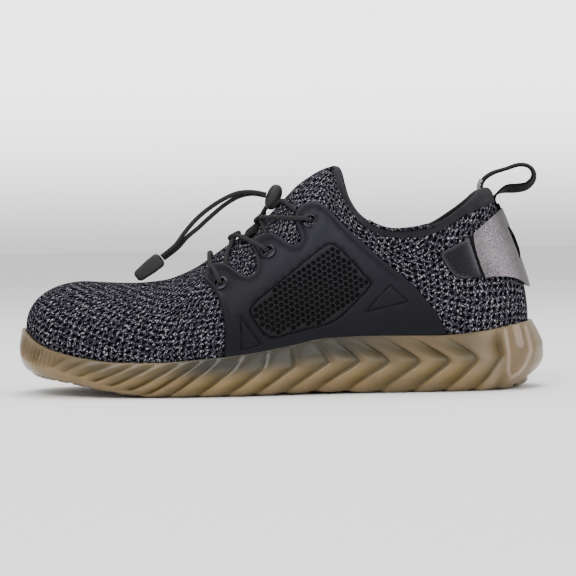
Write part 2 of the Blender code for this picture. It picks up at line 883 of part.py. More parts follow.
def tube(name, path, radius, group, finish=None, count=None):
    """Round cord along a path, with closed ends, as a plain mesh."""
    dense = curve_through(path, False, 10)
    run = lengths_along(dense)[-1]
    count = count or max(4, round(run / (radius * 4.6)))
    spots = resample(dense, count)
    curve = bpy.data.curves.new(name, "CURVE")
    curve.dimensions = "3D"
    curve.bevel_depth = radius
    curve.bevel_resolution = 1
    curve.use_fill_caps = True
    line = curve.splines.new("POLY")
    line.points.add(len(spots) - 1)
    for spot, co in zip(line.points, spots):
        spot.co = (*co, 1.0)
    obj = bpy.data.objects.new(name, curve)
    group.objects.link(obj)
    return baked(obj, group, name, finish)


# The pieces


def sole_column(side, index):
    """One column of the sole's side, from its bottom edge to its top edge, along a rib."""
    stations = RIBS_PER_SIDE * len(RIB_WAVE)
    base = read(RIB_FEET, "around", index / len(RIB_WAVE))
    levels = SOLE_SIDE["level"]
    slant = read(RIB_SLANT, "lower", base), read(RIB_SLANT, "upper", base)
    wave = RIB_WAVE[index % len(RIB_WAVE)] * read(RIB_SLANT, "depth", base) * RIB_DEPTH
    length = PLAN_RUN[side][-1]
    column = []
    for level in levels:
        lean = slant[0] * min(level / RIB_KNEE_SHARE, 1.0) + slant[1] * max(level - RIB_KNEE_SHARE, 0.0) / (1 - RIB_KNEE_SHARE)
        around = min(max(base + lean * RIB_LEAN / length, 0.0), 1.0) if 0 < index < stations else base
        spot, normal = outline(side, around)
        inset = side_inset(level, around) + wave * read(RIB_FADE, "depth", level)
        x, y = spot - normal * inset
        ground = ground_height(x, side)
        notch = TREAD_DEPTH * (1.0 if index % len(RIB_WAVE) == 0 else 0.0) * max(0.0, 1 - level / 0.2)
        column.append(np.array([x, y, ground + (edge_height(around) - ground) * level + notch]))
    return column


def build_outsole(group, cutters):
    """Cup sole: slanted wave ribs round its wall, a wave tread with flat lands below, and a hollow for the upper."""
    stations = RIBS_PER_SIDE * len(RIB_WAVE)
    levels = len(SOLE_SIDE["level"])
    across = 3
    vertices, index_of = [], {}

    def vertex(key, co):
        if key not in index_of:
            index_of[key] = len(vertices)
            vertices.append(co)
        return index_of[key]

    columns = {}
    for side in (LATERAL, MEDIAL):
        for j in range(stations + 1):
            columns[side, j] = sole_column(side, j)
    for j in (0, stations):
        columns[MEDIAL, j] = columns[LATERAL, j]

    def wall(side, j, level):
        shared = LATERAL if j in (0, stations) else side
        return vertex(("wall", shared, j, level), columns[shared, j][level])

    def under(j, c):
        if c in (0, across):
            return wall(LATERAL if c == 0 else MEDIAL, j, 0)
        if j in (0, stations):
            return wall(LATERAL, j, 0)
        t = c / across
        left, right = columns[LATERAL, j][0], columns[MEDIAL, j][0]
        wave = TREAD_WAVE * (1 if c % 2 else -1) * smoothstep(0.07, 0.24, j / stations)
        wave *= 1 - smoothstep(0.80, 0.93, j / stations)
        x = left[0] * (1 - t) + right[0] * t + wave
        ground = ground_height(x, LATERAL) * (1 - t) + ground_height(x, MEDIAL) * t
        groove = TREAD_DEPTH if j % len(RIB_WAVE) == 0 else 0.0
        return vertex(("under", j, c), np.array([x, left[1] * (1 - t) + right[1] * t, ground + groove]))

    faces = []
    for side in (LATERAL, MEDIAL):
        for j in range(stations):
            for level in range(levels - 1):
                a, b = wall(side, j, level), wall(side, j + 1, level)
                c, d = wall(side, j + 1, level + 1), wall(side, j, level + 1)
                quad = (a, b, c) if side == LATERAL else (a, c, b)
                other = (a, c, d) if side == LATERAL else (a, d, c)
                faces.extend([quad, other])
    for j in range(stations):
        for c in range(across):
            a, b = under(j, c), under(j, c + 1)
            d, e = under(j + 1, c), under(j + 1, c + 1)
            faces.extend([(a, b, e), (a, e, d)])
        top = levels - 1
        a, b = wall(LATERAL, j, top), wall(MEDIAL, j, top)
        d, e = wall(LATERAL, j + 1, top), wall(MEDIAL, j + 1, top)
        faces.extend([(a, d, e), (a, e, b)])
    faces = [f for f in faces if len(set(f)) == 3]
    sole = link("outsole", mesh_from("outsole", vertices, faces), group, "gum_rubber")
    boolean(sole, cup_hollow(cutters), "DIFFERENCE")
    return sole


def cup_hollow(cutters):
    """What the upper takes out of the sole: its own outer form plus a gap, from the footbed up."""
    rows = [0, 1, 2]
    vertices, faces = [], []
    for k in range(RING):
        for row in rows:
            co = POINTS[k, row] + NORMALS[k, row] * GAP
            if row == 0:
                co[2] = footbed_height(co[0])
            vertices.append(co)
    count = len(rows)
    for k in range(RING):
        a, b = k * count, ((k + 1) % RING) * count
        for r in range(count - 1):
            faces.append((a + r, a + r + 1, b + r + 1))
            faces.append((a + r, b + r + 1, b + r))
    for level in (0, count - 1):
        for k in range(STATIONS):
            left, left_next = k * count + level, (k + 1) * count + level
            right, right_next = ((RING - k) % RING) * count + level, (RING - k - 1) * count + level
            faces.append((left, left_next, right_next))
            faces.append((left, right_next, right))
    faces = [f for f in faces if len(set(f)) == 3]
    return as_cutter(link("cup_hollow", mesh_from("cup_hollow", vertices, faces), cutters))


def build_insole(group):
    """Flat footbed board inside the upper, on the sole's floor."""
    ring_low, ring_high = [], []
    for k in range(RING):
        low, high = POINTS[k, 0], POINTS[k, 1]
        inward = NORMALS[k, 1] * -(UPPER_WALL + INSOLE_CLEARANCE)
        base = low + inward
        base[2] = footbed_height(base[0]) + GAP
        top = base.copy()
        top[2] += INSOLE_THICKNESS
        share = min((top[2] - low[2]) / max(high[2] - low[2], 1e-6), 1.0)
        top[:2] += (high - low)[:2] * share * 0.6
        ring_low.append(base)
        ring_high.append(top)
    vertices = ring_low + ring_high
    faces = []
    for k in range(RING):
        a, b = k, (k + 1) % RING
        faces.append((a, b, b + RING, a + RING))
    for base in (0, RING):
        for k in range(STATIONS):
            left, left_next = base + k, base + k + 1
            right, right_next = base + (RING - k) % RING, base + RING - k - 1
            faces.append((left, left_next, right_next))
            faces.append((left, right_next, right))
    faces = [f for f in faces if len(set(f)) > 2]
    return link("insole", mesh_from("insole", vertices, faces), group, "footbed")


def collar_band(extra):
    """Side outline of the zone of the cuff: all that lies above a line set below the collar's rim."""
    rim = RIM[LATERAL][:, [0, 2]]
    tangent = np.gradient(rim, axis=0)
    down = np.column_stack([tangent[:, 1], -tangent[:, 0]])
    down = down / np.linalg.norm(down, axis=1)[:, None]
    lower = rim + down * (CUFF_WIDTH + extra)
    keep = [lower[0]]
    for spot in lower[1:]:
        if np.linalg.norm(spot - keep[-1]) > CUFF_WIDTH * 0.54:
            keep.append(spot)
    first, last = np.array(keep[0]), np.array(keep[-1])
    start = first + (first - np.array(keep[1])) * 4
    end = last + (last - np.array(keep[-2])) * 4
    above = INSTEP_HEIGHT * 0.47
    return np.array([*([start, *keep, end]), (end[0] + above, end[1] + above), (start[0], start[1] + above)])


def build_upper(group, cutters):
    """Knitted bootie in one piece: vamp, throat, quarters and heel, one wall, open at the collar and underneath."""
    upper = patch("upper", (0, RING), (0, LAST), 0.0, UPPER_WALL, group, "knit")
    upper.modifiers["wall"].offset = -1.0
    zone = prism("cuff_zone", collar_band(GAP), -BALL_WIDTH, BALL_WIDTH, cutters)
    boolean(upper, zone, "DIFFERENCE")
    return upper


def build_cuff(group, cutters):
    """Knitted band round the collar, a little thicker than the wall that it continues."""
    wall = UPPER_WALL + CUFF_STEP + CUFF_PADDING
    cuff = patch("collar_cuff", (0, RING), (ROWS_ABOVE - 3, LAST), CUFF_STEP, wall, group, "cuff")
    cuff.modifiers["wall"].offset = -1.0
    zone = prism("cuff_band", collar_band(0.0), -BALL_WIDTH, BALL_WIDTH, cutters)
    boolean(cuff, zone, "INTERSECT")
    return cuff


def side_name(side):
    return "lateral" if side == LATERAL else "medial"


def side_range(side, low, high):
    """Range of ring stations on one side, from a low to a high share of the way round."""
    first, last = round(low * STATIONS), round(high * STATIONS)
    return (first, last) if side == LATERAL else (RING - last, RING - first)


def reach_of(side, near=0.0):
    return (-BALL_WIDTH, -near) if side == LATERAL else (near, BALL_WIDTH)


def groove_triangle(name, corners, side, cutters):
    """Three-sided band in the side view, for the moulded triangle lines."""
    spots = [np.array([plan_x(a), h * INSTEP_HEIGHT]) for a, h in corners]
    middle = sum(spots) / 3
    outer = [s + (s - middle) / np.linalg.norm(s - middle) * GROOVE_WIDTH for s in spots]
    inner = [s - (s - middle) / np.linalg.norm(s - middle) * GROOVE_WIDTH for s in spots]
    rim = prism(name, np.array(outer), *reach_of(side), cutters)
    core = prism(name + "_core", np.array(inner), *reach_of(side), cutters)
    boolean(rim, core, "DIFFERENCE")
    return rim


def build_saddle(side, group, cutters):
    """Moulded overlay of one side: lobes for the eyelets, a window and two sunk triangles."""
    name = "saddle_" + side_name(side)
    saddle = patch(name, side_range(side, 0.275, 0.875), (1, LAST), GAP, SADDLE_THICKNESS, group, "moulded_overlay")
    form = prism(name + "_form", side_outline(SADDLE_SHAPE), *reach_of(side, 0.004), cutters)
    window = prism(name + "_window", side_outline(WINDOW_SHAPE), *reach_of(side), cutters)
    boolean(saddle, form, "INTERSECT")
    boolean(saddle, window, "DIFFERENCE")
    boolean(saddle, bpy.data.objects["sole_limit"], "DIFFERENCE")
    for n, (along, height) in enumerate(EYELETS):
        hole = eyelet_cutter(f"{name}_hole_{n + 1}", side, along, height, cutters)
        boolean(saddle, hole, "DIFFERENCE")
    lift = GAP + SADDLE_THICKNESS - GROOVE_DEPTH
    for word, corners in (("front", FRONT_TRIANGLE), ("rear", REAR_TRIANGLE)):
        band = groove_triangle(f"{name}_{word}_line", corners, side, cutters)
        sunk = patch(f"{name}_{word}_sunk", side_range(side, 0.275, 0.875), (1, LAST), lift, 0.004, cutters)
        boolean(sunk, band, "INTERSECT")
        as_cutter(sunk)
        boolean(saddle, sunk, "DIFFERENCE")
    return saddle


def build_panel(side, group, cutters):
    """Thin vent panel that fills the window of the saddle."""
    name = "vent_panel_" + side_name(side)
    panel = patch(name, side_range(side, 0.30, 0.75), (1, LAST), GAP, PANEL_THICKNESS, group, "moulded_overlay")
    spots = side_outline(WINDOW_SHAPE)
    middle = spots.mean(axis=0)
    away = spots - middle
    shrunk = spots - away / np.linalg.norm(away, axis=1)[:, None] * GAP * 1.6
    form = prism(name + "_form", shrunk, *reach_of(side), cutters)
    boolean(panel, form, "INTERSECT")
    return panel


def eyelet_frame(side, along, height, lift):
    """Place and turn that set an axis along the upper's normal at an eyelet."""
    around, up = locate(side, along, height)
    place = Vector(surface(side, around, up, lift))
    normal = Vector(surface_normal(side, around, up))
    return Matrix.Translation(place) @ normal.to_track_quat("Z", "Y").to_matrix().to_4x4()


def eyelet_cutter(name, side, along, height, cutters):
    mesh = bpy.data.meshes.new(name)
    work = bmesh.new()
    radius = BARREL_RADIUS + GAP
    bmesh.ops.create_cone(work, cap_ends=True, segments=16, radius1=radius, radius2=radius, depth=SADDLE_THICKNESS * 6)
    work.to_mesh(mesh)
    work.free()
    mesh.transform(eyelet_frame(side, along, height, GAP + SADDLE_THICKNESS / 2))
    return as_cutter(link(name, mesh, cutters))


def build_eyelet(side, number, along, height, group):
    """Turned ring: a flange on the overlay and a barrel through it."""
    foot = -(SADDLE_THICKNESS - GAP)
    profile = [
        (EYELET_BORE, GAP + EYELET_HEIGHT * 0.45),
        (EYELET_BORE + 0.0009, GAP + EYELET_HEIGHT),
        (EYELET_RADIUS, GAP),
        (BARREL_RADIUS, GAP),
        (BARREL_RADIUS, foot),
        (EYELET_BORE, foot),
        (EYELET_BORE, GAP + EYELET_HEIGHT * 0.45),
    ]
    name = f"eyelet_{side_name(side)}_{number}"
    mesh = bpy.data.meshes.new(name)
    mesh.from_pydata([(r, 0.0, z) for r, z in profile], [(i, i + 1) for i in range(len(profile) - 1)], [])
    ring = link(name, mesh, group)
    turn = ring.modifiers.new("turn", "SCREW")
    turn.steps = turn.render_steps = 10
    turn.use_merge_vertices = True
    turn.merge_threshold = 0.00001
    turn.use_normal_calculate = True
    solid = baked(ring, group, name, "eyelet_metal")
    closed_outward(solid.data)
    solid.matrix_world = eyelet_frame(side, along, height, GAP + SADDLE_THICKNESS)
    return solid


def closed_outward(mesh):
    """Welds a mesh and turns its faces outwards."""
    work = bmesh.new()
    work.from_mesh(mesh)
    bmesh.ops.remove_doubles(work, verts=work.verts, dist=1e-6)
    bmesh.ops.recalc_face_normals(work, faces=work.faces)
    work.to_mesh(mesh)
    work.free()


def slot_box(name, low, high, width, cutters):
    """Upright box behind the heel, for what lies on its middle line."""
    front, back = plan_x(0.85), plan_x(1.1)
    run = np.array([(front, low), (back, low), (back, high), (front, high)])
    return prism(name, run, -width / 2, width / 2, cutters)


def build_heel(group, cutters):
    """Tape down the middle of the heel, a tab on each side, and the strap that spans them."""
    heel = (STATIONS - 12, STATIONS + 12)
    back = (STATIONS - 3, STATIONS + 3)
    tape = patch("back_tape", back, (2, LAST), GAP, TAPE_THICKNESS, group, "webbing")
    boolean(tape, slot_box("tape_form", TAPE_LOW, TAPE_HIGH, TAPE_WIDTH, cutters), "INTERSECT")
    lift = 2 * GAP + TAB_THICKNESS
    bow = patch("tape_bow", back, (2, LAST), GAP, lift + STRAP_THICKNESS - GAP, cutters)
    room = (SLOT_LOW + 2 * GAP, SLOT_HIGH - 2 * GAP, TAPE_WIDTH)
    boolean(bow, slot_box("bow_form", *room, cutters), "INTERSECT")
    boolean(tape, as_cutter(bow), "UNION")
    for side in (LATERAL, MEDIAL):
        name = "strap_tab_" + side_name(side)
        tab = patch(name, side_range(side, 0.66, 0.975), (1, LAST), GAP, TAB_THICKNESS, group, "leather_tab")
        form = prism(name + "_form", side_outline(TAB_SHAPE), *reach_of(side, TAPE_WIDTH), cutters)
        boolean(tab, form, "INTERSECT")
    strap = patch("heel_strap", heel, (2, LAST), lift, STRAP_THICKNESS, group, "leather")
    boolean(strap, prism("strap_form", side_outline(STRAP_SHAPE), -BALL_WIDTH, BALL_WIDTH, cutters), "INTERSECT")
    slot = slot_box("strap_slot", SLOT_LOW, SLOT_HIGH, TAPE_WIDTH + 2 * GAP, cutters)
    boolean(strap, slot, "DIFFERENCE")
    return strap


def ridge_around(along):
    """Share around whose section meets the ridge at a place along it."""
    low, high = 0.0, THROAT_END_SHARE
    for _ in range(30):
        middle = (low + high) / 2
        if read(RIDGE_MATCH, "along", middle) < along:
            low = middle
        else:
            high = middle
    return low


def lace_path(side, eyelet, over, ridge, under):
    """Route of a lace: beside an eyelet, over the overlay and the knit, across the ridge, down the other side."""
    on_saddle = 3.3 * GAP + SADDLE_THICKNESS + LACE_RADIUS
    on_keeper = 4.3 * GAP + KEEPER_THICKNESS + LACE_RADIUS
    on_knit = 4 * GAP + LACE_RADIUS
    middle = surface(side, *locate(side, *eyelet), on_saddle)
    spots = [surface(side, *locate(side, *place), on_saddle) for place in over]
    crest = surface(side, ridge_around(ridge), 1.0, on_keeper)
    away = EYELET_RADIUS + LACE_RADIUS + 2 * GAP
    start = middle + (spots[0] - middle) / np.linalg.norm(spots[0] - middle) * away
    spots = [s for s in spots if np.linalg.norm(s - middle) > away * 1.2]
    path = [start, *spots, crest]
    path.extend(surface(-side, *locate(-side, *place), on_knit) for place in under)
    return path


def build_laces(group):
    """Bar and crossings of the elastic lace: each crossing is one solid."""
    bar = lace_path(LATERAL, EYELETS[0], BAR_ROUTE, BAR_RIDGE_SHARE, ())
    other = lace_path(MEDIAL, EYELETS[0], BAR_ROUTE, BAR_RIDGE_SHARE, ())
    tube("lace_bar", [*bar, *other[:-1][::-1]], LACE_RADIUS, group, "cord")
    for name, eyelet, over, ridge, under in CROSSINGS:
        strands = []
        for side in (LATERAL, MEDIAL):
            path = lace_path(side, eyelet, over, ridge, under)
            strands.append(tube(f"{name}_{side_name(side)}", path, LACE_RADIUS, group, "cord"))
        boolean(strands[0], strands[1], "UNION")
        joined = baked(strands[0], group, name, "cord")
        bpy.data.objects.remove(strands[1], do_unlink=True)
        joined.name = name
    lift = 3 * GAP + LACE_RADIUS
    for side in (LATERAL, MEDIAL):
        path = [surface(side, *locate(side, *place), lift) for place in TOP_ROUTE]
        beside = Vector((LOCK_WIDTH * 0.34, side * (LOCK_WIDTH / 2 + GAP + LACE_RADIUS * 0.56), -LOCK_LENGTH * 0.147))
        path.append(above_ridge(LOCK_ALONG_SHARE, 0.0, LOCK_ABOVE_RIDGE) + beside)
        tube("lace_top_" + side_name(side), path, LACE_RADIUS, group, "cord")


def place_of(spot):
    along, height, aside = spot
    return (plan_x(along), aside * BALL_WIDTH, height * INSTEP_HEIGHT)


def above_ridge(along, aside, lift):
    """Place at a height above the middle line of the vamp and throat."""
    ridge = TOE_BOX_HEIGHT + read(RIDGE, "rise", along) * (INSTEP_HEIGHT - TOE_BOX_HEIGHT)
    return Vector((plan_x(along), aside, ridge + lift))


def build_keeper(group, cutters):
    """Webbing keeper across the throat, sewn to the knit below the upper crossing."""
    ring = ridge_around(KEEPER_PLACE_SHARE)
    width = KEEPER_WIDTH / 2
    vertices, faces = [], []
    rings = [ring + step * width / (SOLE_LENGTH * 0.95) for step in (-1, 0, 1)]
    spots = [(LATERAL, h) for h in np.linspace(KEEPER_REACH_SHARE, 1.0, 8)]
    spots += [(MEDIAL, h) for h in np.linspace(1.0, KEEPER_REACH_SHARE, 8)[1:]]
    for side, height in spots:
        for around in rings:
            vertices.append(surface(side, around, height, GAP + SADDLE_THICKNESS * 0.07))
    for i in range(len(spots) - 1):
        for j in range(2):
            a = i * 3 + j
            faces.append((a, a + 3, a + 4, a + 1))
    mesh = mesh_from("lace_keeper", vertices, faces)
    keeper = link("lace_keeper", mesh, group, "webbing")
    if max(mesh.polygons, key=lambda p: p.center.z).normal.z < 0:
        mesh.flip_normals()
    wall = keeper.modifiers.new("wall", "SOLIDIFY")
    wall.thickness = KEEPER_THICKNESS
    wall.offset = 1.0
    return keeper


def build_cord_ends(group):
    """Oval cord lock above the throat, the doubled cord that leaves it, and the clip on the cord's end."""
    work = bmesh.new()
    bmesh.ops.create_uvsphere(work, u_segments=12, v_segments=8, radius=0.5)
    mesh = bpy.data.meshes.new("cord_lock")
    work.to_mesh(mesh)
    work.free()
    shape = Matrix.Diagonal((LOCK_WIDTH, LOCK_WIDTH, LOCK_LENGTH, 1.0))
    mesh.transform(shape)
    lock = link("cord_lock", mesh, group, "hard_plastic")
    lock.location = above_ridge(LOCK_ALONG_SHARE, 0.0, LOCK_ABOVE_RIDGE)
    lock.rotation_euler = (0.0, math.radians(LOCK_TILT), 0.0)
    for name, route in (("lace_tail_upper", TAIL_UPPER), ("lace_tail_lower", TAIL_LOWER)):
        tube(name, [place_of(s) for s in route], LACE_RADIUS, group, "cord", count=20)
    bpy.ops.mesh.primitive_cube_add(size=1.0)
    clip = bpy.context.active_object
    for owner in list(clip.users_collection):
        owner.objects.unlink(clip)
    group.objects.link(clip)
    clip.name = clip.data.name = "cord_clip"
    clip.data.transform(Matrix.Diagonal((CLIP_LENGTH, CLIP_DEPTH, CLIP_WIDTH, 1.0)))
    for v in clip.data.vertices:
        if v.co.x < 0:
            v.co.z *= CLIP_NARROW_SHARE
            v.co.y *= CLIP_NARROW_SHARE
    bevel = clip.modifiers.new("round", "BEVEL")
    bevel.width = CLIP_ROUNDING
    bevel.segments = 2
    clip.data.materials.append(material("hard_plastic"))
    clip.location = above_ridge(CLIP_ALONG_SHARE, CLIP_ASIDE, CLIP_ABOVE_RIDGE)
    clip.rotation_euler = (0.0, math.radians(-CLIP_TILT), 0.0)


def build_pull_loop(group):
    """Webbing loop over the back of the collar, sewn inside and outside, with a half twist in its bow."""
    rows = [(plan_x(a), h * INSTEP_HEIGHT, math.radians(t) * TWIST_SCALE) for a, h, t in PULL_LOOP]
    dense = curve_through(rows, False, 10)
    count = 30
    path = resample(dense, count)
    vertices = []
    for i in range(count):
        ahead = path[min(i + 1, count - 1)][:2] - path[max(i - 1, 0)][:2]
        along = Vector((ahead[0], 0.0, ahead[1])).normalized()
        flat = Vector((0.0, 1.0, 0.0))
        thick = along.cross(flat)
        turn = Matrix.Rotation(path[i][2] / TWIST_SCALE, 3, along)
        wide = turn @ flat * (WEBBING_WIDTH / 2)
        deep = turn @ thick * (WEBBING_THICKNESS / 2)
        middle = Vector((path[i][0], 0.0, path[i][1]))
        vertices.extend([middle + wide + deep, middle - wide + deep, middle - wide - deep, middle + wide - deep])
    faces = [(0, 1, 2, 3), tuple(4 * (count - 1) + i for i in (3, 2, 1, 0))]
    for i in range(count - 1):
        for j in range(4):
            a, b = 4 * i + j, 4 * i + (j + 1) % 4
            faces.append((a, b, b + 4, a + 4))
    return link("pull_loop", mesh_from("pull_loop", vertices, faces), group, "webbing")


def main():
    clear_scene()
    parts = collection("knit_safety_sneaker")
    cutters = collection("cutters")
    sole_top_limit("sole_limit", cutters)
    build_outsole(parts, cutters)
    build_insole(parts)
    build_upper(parts, cutters)
    build_cuff(parts, cutters)
    for side in (LATERAL, MEDIAL):
        build_saddle(side, parts, cutters)
        build_panel(side, parts, cutters)
        for n, (along, height) in enumerate(EYELETS):
            build_eyelet(side, n + 1, along, height, parts)
    build_heel(parts, cutters)
    build_keeper(parts, cutters)
    build_laces(parts)
    build_cord_ends(parts)
    build_pull_loop(parts)


main()
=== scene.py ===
import math

import bmesh
import bpy
import numpy as np
from mathutils import Matrix, Vector, geometry
from mathutils.bvhtree import BVHTree


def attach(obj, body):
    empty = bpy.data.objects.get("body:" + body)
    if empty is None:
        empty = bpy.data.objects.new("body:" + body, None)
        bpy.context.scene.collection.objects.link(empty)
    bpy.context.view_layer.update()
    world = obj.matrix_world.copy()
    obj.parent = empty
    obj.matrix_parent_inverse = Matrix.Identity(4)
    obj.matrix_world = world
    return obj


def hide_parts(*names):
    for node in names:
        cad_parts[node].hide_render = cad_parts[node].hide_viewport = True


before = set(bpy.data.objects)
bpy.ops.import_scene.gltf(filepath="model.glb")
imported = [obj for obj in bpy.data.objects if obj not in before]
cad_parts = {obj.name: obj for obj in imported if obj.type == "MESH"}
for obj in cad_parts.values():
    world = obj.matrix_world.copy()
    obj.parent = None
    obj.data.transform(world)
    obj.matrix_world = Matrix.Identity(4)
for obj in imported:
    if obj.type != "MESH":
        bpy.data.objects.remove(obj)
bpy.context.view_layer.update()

scene = bpy.context.scene

# A left shoe: toe to -X, outer side to -Y, floor at z = 0. Metres.
shoe = {
    "length": 0.300,
    "ballWidth": 0.108,
    "toeBoxHeight": 0.0637,
    "instepHeight": 0.1276,
    "collarDip": 0.0911,
    "heelTop": 0.1146,
    "collarWidth": 0.064,
    "gap": 0.0003,
    "tipOffset": 0.0054,
    "ridgeOffset": 0.0045,
    "collarFront": 0.606,
    "collarBack": 0.8990,
    "throatEnd": 0.52,
    "stations": 144,
    "rowsAbove": 44,
}
halfBall = shoe["ballWidth"] / 2
outer, inner = -1, 1  # the two sides of the foot
word = {outer: "Outer", inner: "Inner"}
view = {outer: "lateral", inner: "medial"}


def table(columns, rows):
    return {name: [row[i] for row in rows] for i, name in enumerate(columns.split())}


def read(rows, column, at):
    xs, ys = rows[next(iter(rows))], rows[column]
    steps = [b - a for a, b in zip(xs, xs[1:])]
    slopes = [(b - a) / s for a, b, s in zip(ys, ys[1:], steps)]
    at = min(max(at, xs[0]), xs[-1])
    i = min(max(sum(x <= at for x in xs) - 1, 0), len(xs) - 2)

    def tangent(k):
        if k == 0 or k == len(xs) - 1:
            return slopes[0] if k == 0 else slopes[-1]
        before, after = slopes[k - 1], slopes[k]
        return 2 * before * after / (before + after) if before * after > 0 else 0.0

    t = (at - xs[i]) / steps[i]
    rise = ys[i] * (1 + 2 * t) * (1 - t) ** 2 + tangent(i) * steps[i] * t * (1 - t) ** 2
    return rise + ys[i + 1] * t * t * (3 - 2 * t) + tangent(i + 1) * steps[i] * t * t * (t - 1)


def smooth(low, high, value):
    t = np.clip((np.asarray(value, float) - low) / (high - low), 0.0, 1.0)
    return t * t * (3 - 2 * t)


# The last's sections, as shares of the sizes above
planRows = [  # along, outer half, inner half
    (0.030, 0.44, 0.58), (0.090, 0.71, 0.83), (0.180, 0.90, 0.95), (0.280, 0.985, 1.00),
    (0.360, 1.00, 0.96), (0.450, 0.965, 0.86), (0.560, 0.875, 0.755), (0.680, 0.80, 0.70),
    (0.800, 0.77, 0.715), (0.900, 0.68, 0.66), (0.965, 0.46, 0.47),
]
collarRows = [  # along, half width, rise to the instep, rise to the heel's top
    (0.610, 0.40, 0.934, 0.0), (0.617, 0.66, 0.724, 0.0), (0.630, 0.82, 0.486, 0.0),
    (0.655, 0.93, 0.207, 0.0), (0.695, 0.99, 0.030, 0.0), (0.740, 1.00, 0.0, 0.0),
    (0.790, 0.96, 0.0, 0.114), (0.835, 0.85, 0.0, 0.456), (0.870, 0.62, 0.0, 0.793),
    (0.886, 0.34, 0.0, 0.951),
]
ridge = table("along rise", [
    (0.130, 0.000), (0.186, -0.017), (0.228, -0.023), (0.256, -0.014), (0.284, 0.003), (0.313, 0.049),
    (0.344, 0.119), (0.371, 0.203), (0.399, 0.297), (0.457, 0.466), (0.483, 0.577), (0.509, 0.701),
    (0.535, 0.825), (0.559, 0.903), (0.582, 0.964), (0.606, 1.000),
])
ridgeMatch = table("around along", [
    (0.00, 0.130), (0.10, 0.146), (0.20, 0.205), (0.30, 0.305), (0.38, 0.412), (0.45, 0.510),
    (0.52, 0.606),
])
sections = table("around rise swell reach drop", [
    (0.00, 0.58, 0.010, 0.400, 0.00), (0.10, 0.60, 0.035, 0.520, 0.00),
    (0.20, 0.60, 0.060, 0.560, 0.00), (0.30, 0.52, 0.055, 0.480, 0.00),
    (0.38, 0.44, 0.030, 0.400, 0.01), (0.46, 0.38, 0.020, 0.360, 0.03),
    (0.52, 0.36, 0.020, 0.320, 0.06), (0.58, 0.34, 0.020, 0.120, 0.24),
    (0.66, 0.33, 0.030, 0.070, 0.30), (0.78, 0.34, 0.040, 0.060, 0.32),
    (0.90, 0.35, 0.030, 0.130, 0.34), (1.00, 0.35, 0.004, 0.205, 0.35),
])


def curveThrough(points, closed=False, perSpan=10):
    spots = np.array(points, float)
    count = len(spots)
    spans = count if closed else count - 1
    lengths = [max(np.linalg.norm(spots[(i + 1) % count] - spots[i]), 1e-9) ** 0.5 for i in range(spans)]
    tangents = []
    for i in range(count):
        if closed or 0 < i < count - 1:
            back, ahead = lengths[i - 1], lengths[i % spans]
            behind = (spots[i] - spots[i - 1]) / back
            forward = (spots[(i + 1) % count] - spots[i]) / ahead
            tangents.append((behind * ahead + forward * back) / (back + ahead))
        elif i == 0:
            tangents.append((spots[1] - spots[0]) / lengths[0])
        else:
            tangents.append((spots[-1] - spots[-2]) / lengths[-1])
    dense = []
    for i in range(spans):
        start, end = spots[i], spots[(i + 1) % count]
        leave, arrive = tangents[i] * lengths[i], tangents[(i + 1) % count] * lengths[i]
        for t in np.arange(perSpan) / perSpan:
            dense.append(start * (1 + 2 * t) * (1 - t) ** 2 + leave * t * (1 - t) ** 2
                         + end * t * t * (3 - 2 * t) + arrive * t * t * (t - 1))
    if not closed:
        dense.append(spots[-1])
    return np.array(dense)


def runOf(curve):
    return np.concatenate([[0.0], np.cumsum(np.linalg.norm(np.diff(curve, axis=0), axis=1))])


def pointAt(curve, run, share):
    return np.array([np.interp(share * run[-1], run, curve[:, axis]) for axis in range(curve.shape[1])])


def evenly(curve, count):
    run = runOf(curve)
    return np.array([pointAt(curve, run, i / (count - 1)) for i in range(count)])


def bothSides(front, rows, back):
    low = [(x, -a, *rest) for x, a, _, *rest in rows]
    high = [(x, b, *rest) for x, _, b, *rest in rows]
    loop = curveThrough([front, *low, back, *reversed(high)], True, 24)
    turn = (len(rows) + 1) * 24
    closed = np.vstack([loop, loop[:1]])
    return {outer: closed[: turn + 1], inner: closed[turn:][::-1]}


def planX(along):
    return (along - 0.5) * shoe["length"]


def alongOf(x):
    return x / shoe["length"] + 0.5


planSides = bothSides(
    (planX(0), shoe["tipOffset"]),
    [(planX(a), b * halfBall, c * halfBall) for a, b, c in planRows],
    (planX(1), 0.0),
)
middleY = (planSides[inner][:, 1].max() + planSides[outer][:, 1].min()) / 2
for curve in planSides.values():
    curve[:, 1] -= middleY
halfCollar = shoe["collarWidth"] / 2
toInstep, toHeel = shoe["instepHeight"] - shoe["collarDip"], shoe["heelTop"] - shoe["collarDip"]
rimSides = bothSides(
    (planX(shoe["collarFront"]), 0.0, shoe["instepHeight"]),
    [(planX(a), w * halfCollar, w * halfCollar, shoe["collarDip"] + f * toInstep + h * toHeel)
     for a, w, f, h in collarRows],
    (planX(shoe["collarBack"]), 0.0, shoe["heelTop"]),
)
planRuns = {side: runOf(curve) for side, curve in planSides.items()}
rimRuns = {side: runOf(curve) for side, curve in rimSides.items()}


def planPoint(side, around):
    if around < 0:
        side, around = -side, -around
    if around > 1:
        side, around = -side, 2 - around
    here = pointAt(planSides[side], planRuns[side], around)
    if around <= 0 or around >= 1:
        return here, np.array([-1.0 if around <= 0 else 1.0, 0.0])
    ahead = pointAt(planSides[side], planRuns[side], min(around + 0.004, 1.0))
    behind = pointAt(planSides[side], planRuns[side], max(around - 0.004, 0.0))
    tangent = ahead - behind
    normal = np.array([tangent[1], -tangent[0]]) * (1 if side == outer else -1)
    return here, normal / np.linalg.norm(normal)


